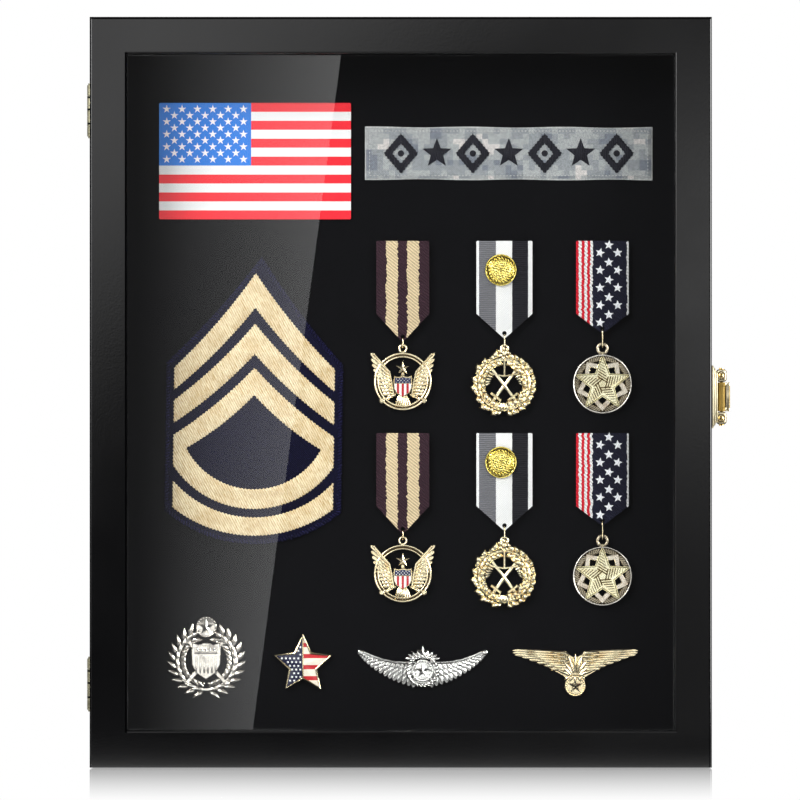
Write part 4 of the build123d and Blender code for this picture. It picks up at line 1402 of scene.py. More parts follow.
@dataclass
class SideLatch:
    """The latch on the door's side: a stepped base with two ears, and a lever on the pin between them."""

    face: float = 152.4
    middle: float = 182.15
    pin: Point = (157.7, -23.1)
    steps: tuple[Place, ...] = ((12.0, 30.8, 1.0), (10.6, 29.2, 0.34), (10.6, 28.2, 0.7), (9.0, 26.4, 0.34),
                                (9.0, 25.6, 0.8))
    ear: Place = (5.0, 6.3, 4.6)
    ear_foot: float = 155.1
    ear_place: float = 10.45
    height: float = 14.2
    flange: float = 1.9

    def base(self) -> None:
        """Makes the stepped base and its ears."""
        piece = Piece("side_latch_base")
        reach = self.face
        for deep, high, thickness in self.steps:
            # Painted shade and highlight: thin steps take dark brass as shade between the layers, thick ones
            # pale brass as highlight.
            finish, edge = (PAINTED_SHADE_BRASS, 0.06) if thickness < 0.5 else (PAINTED_HIGHLIGHT_BRASS, 0.16)
            step = plate([rounded(deep, high, 1.5)], thickness, edge).swapped(2, 1, 0)
            piece.add(step, finish, reach, self.middle, self.pin[1])
            reach += thickness - 0.05
        width, height, depth = self.ear
        for side in (-1, 1):
            x, z, y = self.ear_foot + width / 2, self.middle + side * self.ear_place, self.pin[1] + depth / 2
            # Painted shade and highlight: a dark outline plate behind a pale front plate, a dark ring round
            # the screw head and a dark slot.
            piece.add(plate([rounded(width, height, 1.7, 6)], depth - 0.5, 0.3), PAINTED_SHADE_BRASS, x, z, y)
            front = plate([rounded(width - 0.7, height - 0.7, 1.4, 6)], depth - 0.3, 0.3)
            piece.add(front, PAINTED_HIGHLIGHT_BRASS, x, z, y - 0.3)
            piece.add(hoop(2.1, 1.55, 0.5, 32), PAINTED_SHADE_BRASS, x - 0.3, z, y - depth + 0.3)
            head = lathe([(1.3, 0), (1.3, 0.2), (1.0, 0.42), (0.5, 0.52), (0, 0.55)], 24)
            piece.add(head, BRASS, x - 0.3, z, y - depth + 0.1)
            slot = mound(rounded(2.0, 0.42, 0.2), [(1, 0), (0.9, 0.12)]).turned(35 * side)
            piece.add(slot, GAP_SHADE_BRASS, x - 0.3, z, y - depth - 0.42)
        piece.finish("door", "polished_brass", "latch_base")

    def lever(self) -> None:
        """Makes the lever: a waisted barrel, two flanges and the bent plate that hooks over the keeper."""
        piece = Piece("side_latch_lever")
        foot = self.middle - self.height / 2
        barrel = lathe([(2.3, 0), (2.3, 1.8), (2.15, 2.0), (2.15, 12.2), (2.3, 12.4), (2.3, self.height)], 32)
        # Painted shade: the barrel takes a darker copy of brass.
        piece.add(barrel.swapped(0, 2, 1), SHADED_BRASS, self.pin[0], foot, self.pin[1])
        flange = [(155.9, -24.5), (160.9, -24.7), (161.7, -24.2), (161.7, -21.2), (156.1, -21.2)]
        bent = [(160.4, -24.6), (161.2, -24.6), (161.8, -24.0), (161.8, -14.0), (160.3, -9.5), (160.2, -7.4),
                (161.8, -5.0), (161.8, -3.8), (161.2, -3.8), (158.9, -6.8), (158.8, -9.8), (160.4, -14.4)]
        strip = [(160.1, -24.8), (161.3, -24.8), (161.3, -24.2), (160.1, -24.2)]
        # Painted highlight: the flanges take pale brass, and a pale strip lies along the bent plate's front
        # edge.
        for outline, thickness, edge, lift, finish in (
                (flange, self.flange, 0.45, 0.0, PAINTED_HIGHLIGHT_BRASS),
                (flange, self.flange, 0.45, self.height - self.flange, PAINTED_HIGHLIGHT_BRASS),
                (bent, self.height, 0.3, 0.0, BRASS), (strip, self.height - 0.8, 0.1, 0.4, CHAMPAGNE)):
            piece.add(plate([outline], thickness, edge).swapped(0, 2, 1), finish, 0, foot + lift)
        piece.finish("latch_lever", "polished_brass", "latch_lever")

    def build(self) -> None:
        """Makes the base and the lever."""
        self.base()
        self.lever()


@dataclass
class FeltGround:
    """The felt on the board, as pressed cloth."""

    step: float = 6.0
    swell: float = 0.12

    def build(self) -> None:
        """Makes the board's felt sheet."""
        (x0, y0, z0), (x1, y1, z1) = (np.array(corner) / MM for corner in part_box("felt_cover"))
        across, up = round((x1 - x0) / self.step), round((z1 - z0) / self.step)
        xs, zs = np.linspace(x0, x1, across + 1), np.linspace(z0, z1, up + 1)

        def place(i: int, j: int, layer: int) -> Place:
            """A point of the felt's back or of its softly waved front.

            Args:
                i: its column.
                j: its row.
                layer: its layer, 0 for the back and 1 for the front.

            Returns:
                The point.
            """
            x, z = xs[i], zs[j]
            edge = i in (0, across) or j in (0, up)
            wave = math.sin(x * 0.11 + z * 0.05) * math.sin(z * 0.083) * 0.5 + 0.5
            return x, z, -y0 - self.swell * wave * (not edge) if layer else -y1

        piece = Piece("board_felt")
        piece.add(cloth_sheet(across, up, place), BLACK_FELT)
        thing = piece.finish("case", "black_felt", "felt_cover", 60)


# ---------------------------------------------------------------- flag, tape and patch
@dataclass
class FlagCard:
    """A printed card with thirteen stripes and fifty stars."""

    x: float = -72.587
    z: float = 299.594
    width: float = 95.6
    height: float = 58.0
    thickness: float = 1.0
    star_radius: float = 2.15

    def spots(self) -> list[Spot]:
        """Places of the fifty stars, nine rows of six and five.

        Returns:
            The spots.
        """
        across, down = 0.48 * self.width / 12, 7 / 13 * self.height / 10
        return [Spot((1 + 2 * column + row % 2) * across - self.width / 2, self.height / 2 - (row + 1) * down)
                for row in range(9) for column in range(6 - row % 2)]

    def build(self) -> None:
        """Makes the card and its stars."""
        left, foot = self.x - self.width / 2, self.z - self.height / 2
        printed = FlagPrint("flag_print", left, foot, self.width, self.height)
        piece = Piece("flag_print_card")
        card = slab(rounded(self.width, self.height, 0.7), self.thickness, 0.1)
        piece.add(card, printed, self.x, self.z, LAYERS.felt)
        stars = REPEATER.spread(star_boss(self.star_radius, 0.03, 0.05), self.spots(), WHITE_PRINT)
        piece.add(stars, WHITE_PRINT, self.x, self.z, LAYERS.felt - self.thickness + 0.005)
        piece.finish("case", "printed_card", "flag_card")


@dataclass
class NameTape:
    """A cloth tape with its ends folded under and a bare, generic embroidered row of figures."""

    x: float = 53.801
    z: float = 303.416
    width: float = 143.2
    height: float = 26.2
    thickness: float = 1.25
    fold: float = 1.6
    cells: tuple[int, int] = (96, 16)
    pitch: float = 17.9

    def place(self, i: int, j: int, layer: int) -> Place:
        """A point of the tape, which is a little puffed and wavy along its edges.

        Args:
            i: its column.
            j: its row.
            layer: its layer, 0 for the back and 1 for the front.

        Returns:
            The point.
        """
        u, v = i / self.cells[0], j / self.cells[1]
        x, z = (u - 0.5) * self.width, (v - 0.5) * self.height
        z += 0.22 * math.sin(u * 19 + 1) * (2 * v - 1) - 0.25 * (2 * u - 1) * 0.6
        if not layer:
            return x, z, 0.0
        right = (1 - u) * self.width
        round_off = min(1.0, min(u * self.width, right, v * self.height, (1 - v) * self.height) / 1.1)
        rise = self.thickness * (0.45 + 0.55 * math.sqrt(round_off * (2 - round_off)))
        seam = -0.28 * math.exp(-((right - self.fold - 0.4) / 0.3) ** 2)
        return x, z, rise + seam + 0.10 * math.sin(u * 41 + 2 * v) * math.sin(v * 3.1)

    def figures(self) -> Shape:
        """A generic embroidered row: hollow lozenges with a dot, and stars between them.

        Returns:
            The shape.
        """
        pad = [(1, 0), (1, 0.35), (0.82, 0.6)]
        lozenge = [(0, -10.0), (8.6, 0), (0, 10.0), (-8.6, 0)]
        outline = plate([toothed(lozenge), toothed([(a * 0.5, b * 0.5) for a, b in lozenge])], 0.6, 0.2)
        kinds = (mound(star(7.6, 0.42), pad), joined([outline, pellet(1.6, 14, pad)]))
        return joined(kinds[number % 2].moved(self.pitch * number) for number in range(-3, 4))

    def build(self) -> None:
        """Makes the tape and its embroidery."""
        piece = Piece("tape_cloth_strip")
        cloth = PixelCloth(self.x, self.z, self.width, self.height)
        piece.add(cloth_sheet(*self.cells, self.place), cloth, self.x, self.z, LAYERS.felt)
        thing = piece.finish("case", "tape_cloth", "name_tape", 50)
        sewn = Piece("tape_embroidery")
        front = LAYERS.felt - self.thickness
        sewn.add(self.figures(), INK_THREAD, self.x, self.z, front + 0.15)
        stitch = pellet(0.5, 6, [(1, 0), (0.7, 0.28)]).scaled(1.0, 0.5)
        seam = STITCHER.sew(stitch, rounded(self.width - 4.6, self.height - 4.0, 0.4), PALE_THREAD, 1.7)
        sewn.add(seam, PALE_THREAD, self.x, self.z, front)
        sewn.finish("case", "embroidery", crease=40)


@dataclass
class ChevronPatch:
    """An embroidered patch: three chevrons over two rockers on navy twill with an overcast border."""

    x: float = -73.991
    z: float = 108.817
    tilt: float = -0.8
    width: float = 88.0
    apex: Point = (2.9, 143.4)
    shoulder: float = 89.9
    foot: float = 16.1
    thickness: float = 1.4
    rise: float = 0.75
    flare: float = 1.6
    half: float = 40.0
    field_half: float = 33.6
    border: float = 1.9
    chevrons: tuple[tuple[float, ...], ...] = ((135.0, 117.7, 87.5, 76.3), (109.8, 94.6, 71.1, 59.8))

    def peaked(self, *corners: Point) -> list[Point]:
        """Points along edges from corner to corner that bow a little to the middle line.

        Args:
            *corners: the corners.

        Returns:
            The points.
        """
        points = []
        for (x, y), (end, top) in zip(corners, corners[1:]):
            dx, dy = end - x, top - y
            side = 1 if x + end > 0 else -1
            for t in (i / 14 for i in range(14)):
                bow = self.flare * 4 * t * (1 - t) / math.hypot(dx, dy)
                points.append((x + dx * t - bow * side * abs(dy), y + dy * t - bow * abs(dx)))
        return [*points, corners[-1]]

    @staticmethod
    def bowed(half: float, ends: float, foot: float, steps: int = 28) -> list[Point]:
        """Points along an arc from the left to the right, with its lowest point in the middle.

        Args:
            half: half of its width.
            ends: height of its ends.
            foot: height of its middle.
            steps: number of its parts.

        Returns:
            The points.
        """
        sag = ends - foot
        radius = (half * half + sag * sag) / (2 * sag)
        angles = [math.asin(half / radius) * (2 * i / steps - 1) for i in range(steps + 1)]
        return [(radius * math.sin(a), foot + radius - radius * math.cos(a)) for a in angles]

    def ground(self) -> list[Point]:
        """The patch's outline, anticlockwise from its right foot.

        Returns:
            The points.
        """
        half, side = self.width / 2, (self.shoulder - self.foot) / 12
        points = [(half, self.foot + side * i) for i in range(12)]
        points += self.peaked((half, self.shoulder), self.apex, (-half, self.shoulder))[:-1]
        points += [(-half, self.shoulder - side * i) for i in range(12)]
        return points + self.bowed(half, self.foot, 0.0)[:-1]

    def gold(self) -> Shape:
        """The raised thread stripes.

        Returns:
            The shape.
        """
        half, inner = self.half, self.field_half
        stripes = [[self.peaked((half, a), (0, top), (-half, a))
                    + self.peaked((-half, b), (0, low), (half, b))] for top, low, a, b in self.chevrons]
        stripes.append([self.peaked((half, 53.9), (0, 87.8), (-half, 53.9)) + self.bowed(half, 38.8, 17.5),
                        self.peaked((inner, 47.4), (0, 74.2), (-inner, 47.4))[:-1]
                        + self.bowed(inner, 47.4, 27.3)[:-1]])
        stripes.append([self.bowed(half, 31.2, 13.3)[::-1] + self.bowed(half, 17.8, 4.2)])
        return joined(plate([toothed(loop) for loop in loops], self.rise, 0.32) for loops in stripes)

    def build(self) -> None:
        """Makes the cloth, the stripes and the border."""
        outline = self.ground()
        place, front = (self.x, self.z), LAYERS.felt - self.thickness
        piece = Piece("patch_cloth")
        piece.add(slab(outline, self.thickness, 0.4).turned(self.tilt), NAVY_TWILL, *place, LAYERS.felt)
        thing = piece.finish("case", "embroidery", "chevron_patch", 50)
        flat = np.array(outline)
        sewn = Piece("patch_stripes")
        sewn.add(self.gold().turned(self.tilt), GOLD_THREAD, *place, front + 0.25)
        path = [tuple(p) for p in inset_outline(flat, self.border / 2 + 0.1)]
        stitch = pellet(0.5, 6, [(0.6, 0), (1, 0.5), (0.5, 0.95)]).scaled(0.9, self.border * 1.4)
        rope = STITCHER.sew(stitch, toothed(path, 2.1, 0.3), NAVY_THREAD, 1.5, 26)
        sewn.add(rope.turned(self.tilt), NAVY_THREAD, *place, front + 0.45)
        sewn.finish("case", "embroidery", crease=50)


# ---------------------------------------------------------------- medals
@dataclass
class Ribbon:
    """A folded, pointed ribbon with a hole near its tip."""

    row: Row
    kind: Kind
    straight: float = 36.3
    hole_rise: float = 2.8
    thickness: float = 1.0

    def weave(self) -> RibbonWeave:
        """The ribbon's bands.

        Returns:
            The finish.
        """
        brown, beige = rgb(62, 38, 48), rgb(250, 226, 184)
        white, grey, black = rgb(254, 254, 255), rgb(132, 132, 138), rgb(34, 34, 40)
        red, navy = rgb(226, 30, 50), rgb(22, 24, 44)
        title, bands, look = {
            Kind.WINGED: ("brown_ribbon", ((5.0, brown), (10.7, beige), (15.4, brown), (21.3, beige),
                                           (99, brown)), (0.3, 1.62, 0.6)),
            Kind.WREATH: ("grey_ribbon", ((1.3, white), (9.7, grey, 1.0), (17.8, white), (25.7, black, 1.0),
                                          (99, white)), (0.03, 0.9, 0.16)),
            Kind.STARRED: ("starred_ribbon", ((1.3, red), (2.7, white), (4.1, red), (5.5, white), (6.9, red),
                                              (8.2, white), (25.3, navy), (99, white)), (0.24, 1.7, 0.5)),
        }[self.kind]
        left = self.kind.x - self.kind.width / 2
        return RibbonWeave(title, left, tuple(Band(*band) for band in bands), *look)

    def stars(self) -> Shape:
        """The stars in three slanting columns.

        Returns:
            The shape.
        """
        places = [Spot(x, -2.0 - 8.7 * number - 3.9 * (column != 1), -6 + 9 * ((number + column) % 3 - 1))
                  for column, x in enumerate((-1.2, 3.2, 7.6)) for number in range(6)]
        spots = [s for s in places if -s.y < self.kind.length - 1.0 - abs(s.x) * 0.7]
        raised = mound(star(2.5, 0.44), [(1, 0), (0.96, 0.14), (0.5, 0.22)])
        return REPEATER.spread(raised, spots, WHITE_THREAD)

    def build(self) -> None:
        """Makes the ribbon."""
        half, length, name = self.kind.width / 2, self.kind.length, f"{self.kind.label}_{self.row.label}"
        outline = [(half, -self.straight), (half, -0.4), (half - 0.4, 0), (-half + 0.4, 0), (-half, -0.4),
                   (-half, -self.straight), (0, -length)]
        piece = Piece(f"woven_ribbon_{name}")
        cloth = plate([outline, circle(1.1, 16, 0, self.hole_rise - length)], self.thickness, 0.16)
        piece.add(cloth, self.weave(), self.kind.x, self.row.top, LAYERS.ribbon_back)
        if self.kind is Kind.STARRED:
            piece.add(self.stars(), WHITE_THREAD, self.kind.x, self.row.top, LAYERS.ribbon_front + 0.02)
        thing = piece.finish("case", "striped_ribbon", f"ribbon_{name}", 40)


@dataclass
class DomedButton:
    """A domed button with a plain rim, and a ring of leaves round a beaded middle in relief."""

    radius: float = 7.9
    height: float = 3.0
    drop: float = 14.5
    shift: float = -1.8
    dome: tuple[Point, ...] = ((0.88, 0), (0.97, 0.3), (1, 0.85), (0.975, 1.2), (0.93, 1.28), (0.89, 1.12),
                               (0.86, 1.4), (0.7, 1.98), (0.45, 2.48), (0.2, 2.7), (0, 2.75))

    def shape(self) -> Shape:
        """The button.

        Returns:
            The shape.
        """
        r = self.radius
        grains = []
        for share, count in ((0.2, 7), (0.34, 13), (0.48, 19)):
            spots = ring(count, r * share, start=share * 5, z=2.76 - 1.35 * share * share)
            for number, spot in enumerate(spots):
                swell = 0.8 + 0.5 * abs(math.sin(7.3 * number + 9 * share))
                grains.append(Spot(spot.x, spot.y, 50 * number, swell, spot.z))
        grain = pellet(0.5, 8, [(1, -0.1), (0.8, 0.25), (0.2, 0.42)]).scaled(1.3, 0.9)
        leaves = ring(22, r * 0.64, 55, start=0.5, z=self.height - 0.98)
        return joined([lathe([(r * a, b) for a, b in self.dome], 64),
                       REPEATER.spread(leaf(2.5, 1.1, 0.6), leaves, BUTTON_GOLD),
                       REPEATER.spread(grain, grains, BUTTON_GOLD)])

    def build(self) -> None:
        """Puts a button on each grey ribbon."""
        piece = Piece("medal_buttons")
        for row in Row:
            place = (Kind.WREATH.x + self.shift, row.top - self.drop, LAYERS.ribbon_front)
            piece.add(self.shape(), BUTTON_GOLD, *place)
        piece.finish("case", "gold_plate", "ribbon_buttons")


class Ornament:
    """A medal or badge that is put together round its middle, in front of its back."""

    metal: ClassVar[Finish] = CHAMPAGNE

    def start(self, name: str, x: float, z: float, back: float) -> None:
        """Starts the piece, with its middle and the depth of its back."""
        self.piece, self.x, self.z, self.back = Piece(name), x, z, back

    def put(self, shape: Shape, lift: float = 0.0, finish: Finish | None = None) -> None:
        """Adds a shape, lifted off the back."""
        self.piece.add(shape, finish or self.metal, self.x, self.z, self.back - lift)

    def scatter(self, shape: Shape, spots: Sequence[Spot], lift: float, finish: Finish | None = None,
                y: float = 0.0, size: float = 1.0) -> None:
        """Adds copies of a shape, all of them raised by y and scaled by size."""
        self.put(REPEATER.spread(shape, spots, finish or self.metal, size).moved(0, y), lift, finish)


def garland(count: int, sweep: float) -> Iterator[tuple[int, int, Point, float]]:
    """Side, number, direction and lean of the places along both halves of a wreath, from its foot up.

    Args:
        count: places of each half.
        sweep: degrees from the first to the last.

    Returns:
        The places, one after another.
    """
    for side in (-1, 1):
        for number in range(count):
            turn = math.radians(-84 + sweep * number / (count - 1))
            yield side, number, (side * math.cos(turn), math.sin(turn)), math.degrees(turn) + 90


@dataclass
class Pendant(Ornament):
    """A pendant that hangs from its link by an eyelet."""

    row: Row
    eyelet_drop: float = 53.6
    eyelet_outer: float = 2.3
    eyelet_hole: float = 1.25
    reach: float = 0.0
    stem: float = 0.0
    kind: ClassVar[Kind]
    slot: ClassVar[str] = "gold_plate"

    def __post_init__(self) -> None:
        """Finds the eyelet and the pendant's middle below it, and starts the piece."""
        self.eye = self.row.top - self.eyelet_drop
        name = f"medal_{self.kind.label}_{self.row.label}"
        self.start(name, self.kind.x, self.eye - self.reach - self.stem, LAYERS.pendant_back)

    def hang(self, top: float) -> None:
        """Adds the eyelet with its neck down to a height over the middle, and hangs the piece on its body.

        Args:
            top: height of the neck's foot over the middle.
        """
        level, foot = self.back - LAYERS.ribbon_back, self.z + top
        self.put(hoop(self.eyelet_outer, self.eyelet_hole, 1.1, 28).moved(0, self.eye - self.z), level)
        neck = slab(bar(1.3, 0, self.eye - self.eyelet_hole - foot, 1.0), 1.1, 0.2)
        self.put(neck.moved(0, top), level)
        node = f"pendant_{self.kind.label}_{self.row.label}"
        self.piece.finish(node, self.slot, node)


@dataclass
class WingedPendant(Pendant):
    """A ring with two raised wings, a striped shield and a small star."""

    reach: float = 14.4
    stem: float = 1.9
    kind: ClassVar[Kind] = Kind.WINGED

    def wing(self) -> Shape:
        """The right wing: three ranks of feathers that fan out from an arm beside the shield.

        Returns:
            The shape.
        """
        parts = []
        for count, share, width, lift in ((10, 1.0, 2.0, 0.0), (9, 0.62, 1.8, 0.3), (8, 0.36, 1.6, 0.55)):
            for t in (number / (count - 1) for number in range(count)):
                long = feather((4.6 + 8.0 * t ** 1.3) * share + 0.6, width, 0.8)
                parts.append(long.turned(-4 + 50 * t).moved(4.6 + 2.2 * t, -6.0 + 10.6 * t, lift))
        parts.append(tube([(4.6, -6.4, 0.9), (5.4, -1.0, 0.9), (6.6, 4.8, 0.9), (14.3, 13.5, 0.9)], 0.6))
        return joined([*parts, pellet(0.8, 12, [(1, 0), (1, 1.2), (0.6, 1.7)]).moved(14.3, 13.5)])

    def build(self) -> None:
        """Makes the pendant."""
        r = self.reach
        self.put(hoop(r, r - 1.0, 1.9))
        # Painted shade: a dark ring in the gap between the outer and the inner ring.
        self.put(hoop(r - 0.9, r - 1.8, 0.8), 0.2, GAP_SHADE_BRASS)
        self.put(hoop(r - 1.7, r - 2.5, 1.4), 0.2)
        self.put(self.wing().doubled(), 0.9)
        self.scatter(leaf(6.6, 1.5, 0.6), [Spot(0.5 * i, -6.6, -90 + 7 * i) for i in range(-3, 4)], 1.1)
        sprigs = [Spot(side * (3.2 + 1.3 * i), -6.0 - 0.7 * i, 90 - 125 * side + side * 22 * (i % 2))
                  for side in (-1, 1) for i in range(4)]
        self.scatter(leaf(3.4, 1.4, 0.6), sprigs, 1.0)
        for a in (math.radians(222), math.radians(318)):
            knob = pellet(1.5, 14, [(1, 0), (1, 1.6), (0.6, 2.1)])
            self.put(knob.moved(r * math.cos(a) * 0.98, r * math.sin(a) * 0.98))
        self.shield(-2.6, 2.2)
        self.put(star_boss(3.4, 0.6, 1.3).moved(0, 6.6), 1.2)
        self.put(slab(bar(0.9, 1.2, 4.5, 0.7), 1.3, 0.2), 0.9)
        self.hang(r - 0.8)

    def shield(self, y: float, lift: float) -> None:
        """Adds the enamelled shield in its metal frame.

        Args:
            y: height of its middle.
            lift: how far it stands off the back.
        """
        title = f"red_white_enamel_{self.row.label}"
        stripes = Enamel(title, rgb(190, 26, 40), rgb(248, 246, 244), 2.4, self.x - 5.4)
        low = [(a, min(b, 1.4)) for a, b in shield(8.4, 9.8) if b < 1.5] + [(4.1, 1.4), (-4.1, 1.4)]
        low.sort(key=lambda p: math.atan2(p[1] + 1, p[0]))
        chief = [(-4.1, 1.7), (4.1, 1.7), (3.95, 4.5), (2.0, 4.2), (0, 4.7), (-2.0, 4.2), (-3.95, 4.5)]
        flat = [(1, 0), (1, 0.25)]
        self.put(slab(shield(9.4, 10.8), 1.0, 0.25).moved(0, y), lift)
        self.put(mound(low, flat, (0, -1)).moved(0, y), lift + 0.95, stripes)
        self.put(mound(chief, flat, (0, 3)).moved(0, y), lift + 0.95, Enamel("blue_enamel", rgb(26, 32, 74)))
        checks = [Spot(-3.2 + 1.6 * i + 0.8 * (j % 2), 2.2 + 0.8 * j)
                  for j in range(3) for i in range(5 - j % 2)]
        self.scatter(pellet(0.36, 4, [(1, 0), (0.8, 0.12)]), checks, lift + 1.19, SILVER, y)


@dataclass
class WreathPendant(Pendant):
    """An open wreath with crossed swords and a flower at its top."""

    radius: float = 12.6
    reach: float = 15.2
    stem: float = 2.6
    kind: ClassVar[Kind] = Kind.WREATH
    metal: ClassVar[Finish] = ROSE_GOLD

    @staticmethod
    def sword() -> Shape:
        """A sword that points up, its guard low.

        Returns:
            The shape.
        """
        edge = [(0.75, -9.0), (0.6, 9.5), (0, 12.0), (-0.6, 9.5), (-0.75, -9.0)]
        blade = mound(edge, [(1, 0), (1, 0.5), (0.1, 1.0)])
        bow = tube([(2.9, -7.0, 0.6), (3.2, -9.2, 0.6), (1.8, -11.2, 0.6), (0, -11.6, 0.6)], 0.42)
        grip = pellet(0.9, 10, [(1, 0), (1, 0.7), (0.5, 1.2)], -9.2).scaled(0.9, 1.0)
        knob = pellet(1.0, 12, [(1, 0), (1, 0.9), (0.5, 1.5)], -11.7)
        return joined([blade, slab(bar(3.1, -7.6, -6.4), 1.3, 0.3), bow, grip, knob])

    def build(self) -> None:
        """Makes the pendant."""
        r, top = self.radius, self.reach
        self.put(hoop(r + 0.9, r - 1.3, 1.5))
        leaves, berries = [], []
        for side, number, (x, y), lean in garland(20, 152):
            for offset, twist in ((1.1, -34), (-1.2, 30)):
                angle = lean + twist if side > 0 else 180 - lean - twist
                uneven = (number * 7 + int(offset)) % 5 - 2
                leaves.append(Spot((r + offset) * x, (r + offset) * y, angle + 9 * uneven,
                                   1.0 + 0.11 * uneven))
            if number % 2:
                berries.append(Spot((r - 0.3) * x, (r - 0.3) * y))
        self.scatter(leaf(3.9, 2.6, 1.2), leaves, 1.1)
        self.scatter(pellet(0.75, 8, [(1, 0), (0.8, 0.6), (0.3, 0.95)]), berries, 1.5)
        for side in (-1, 1):
            self.put(self.sword().turned(side * 37).moved(0, -0.6), 0.7 + 0.35 * (side > 0))
            rays = [Spot(side * (5.0 + 0.5 * i), 4.4 - 0.9 * i, 90 - side * (58 + 13 * i)) for i in range(5)]
            self.scatter(leaf(8.0, 1.7, 0.6), rays, 0.6)
        arch = [(-9.5, 7.0, 0.5), (-5.5, 5.0, 0.5), (0, 4.1, 0.5), (5.5, 5.0, 0.5), (9.5, 7.0, 0.5)]
        self.put(tube(arch, 0.6), 0.7)
        self.scatter(leaf(2.9, 2.0, 0.8), ring(7, 1.0), 0.9, y=top + 0.3)
        self.put(pellet(1.2, 14, [(1, 0), (0.8, 0.7), (0, 1.1)]).moved(0, top + 0.3), 1.2)
        self.put(tube([(0, 4.2, 0.5), (0, 8.5, 0.5), (0, top - 1.0, 0.5)], 0.7), 0.6)
        self.scatter(leaf(4.6, 1.8, 0.8), [Spot(0.6 * i, -9.2, 270 + 20 * i) for i in range(-4, 5)], 1.2)
        self.hang(top + 1.2)


@dataclass
class StarredPendant(Pendant):
    """A rimmed medallion with a hatched star over five shorter points."""

    reach: float = 14.7
    stem: float = 2.9
    eyelet_outer: float = 3.3
    eyelet_hole: float = 1.6
    kind: ClassVar[Kind] = Kind.STARRED
    slot: ClassVar[str] = "antique_bronze"
    metal: ClassVar[Finish] = BRONZE

    def hatch(self) -> list[Spot]:
        """Spots of the rim's slanting cuts, which lean the other way after each gap.

        Returns:
            The spots.
        """
        spots = enumerate(ring(70, self.reach - 2.0, start=17.5))
        return [Spot(s.x, s.y, s.turn + (38 if number // 7 % 2 else -38))
                for number, s in spots if number % 7]

    def build(self) -> None:
        """Makes the pendant."""
        r = self.reach
        self.put(hoop(r, r - 0.7, 2.1), 0, PEWTER)
        # Painted shade: a dark ground under the rim's hatch cuts.
        self.put(plate([circle(r - 0.5, 64), circle(r - 3.4, 64)], 1.1, 0.15), 0, PAINTED_SHADE_BRASS)
        self.scatter(mound(block(3.0, 0.64), [(1, 0), (0.9, 0.5)]), self.hatch(), 1.05)
        arrow = both_sides([(0, 10.0), (2.4, 7.6), (2.4, 5.4), (4.9, 5.4), (4.9, 8.6), (0, 13.8)])
        self.put(joined(slab(arrow, 1.0, 0.3).turned(36 + 72 * i) for i in range(5)), 0.6, COPPERY)
        outline = star(r, 0.42)
        self.put(mound(outline, [(1, 0), (1, 1.4), (0.9, 1.8), (0.0, 2.1)]), 0, PALE_GOLD)
        cuts = [Spot(s.x, s.y, s.turn, 1.0 - 0.11 * number, s.z) for number in range(8)
                for s in ring(5, 2.2 + 1.4 * number, 58, start=1.25, z=2.12 - 0.027 * number)]
        # Painted shade: dark strips for the star's engraved lines.
        self.scatter(mound(block(6.0, 0.54), [(1, 0), (0.92, 0.12)]), cuts, 0, PAINTED_SHADE_BRASS)
        self.put(tube([(a, b, 0) for a, b in outline], 0.4, closed=True), 1.7, STAR_GOLD)
        self.hang(r - 0.8)


# ---------------------------------------------------------------- pin badges
@dataclass
class Badge(Ornament):
    """A pin badge on the felt, which stands for a construction piece."""

    across: float
    up: float
    node: str
    slot: str
    title: str

    def __post_init__(self) -> None:
        """Starts the piece."""
        self.start(self.title, self.across, self.up, LAYERS.felt)

    def boss(self, y: float, profile: Sequence[Point], beads: tuple[int, float, float],
             figure: Place) -> None:
        """Adds a round boss.

        Args:
            y: height of its middle.
            profile: its radius and height from the back to the front.
            beads: number, ring radius and radius of the beads on its rim.
            figure: radius, shoulder and height of the star on it.
        """
        self.put(lathe(profile, 44).moved(0, y))
        count, around, radius = beads
        spots = [Spot(a, b) for a, b in circle(around, count, 0, y)]
        self.scatter(pellet(radius, 6, [(1, 0), (0.7, 0.3), (0, 0.45)]), spots, profile[2][1] - 0.05)
        self.put(star_boss(*figure).moved(0, y), profile[-1][1] - 0.05)

    def finish(self) -> None:
        """Seats the piece on the felt."""
        self.piece.finish("case", self.slot, self.node)


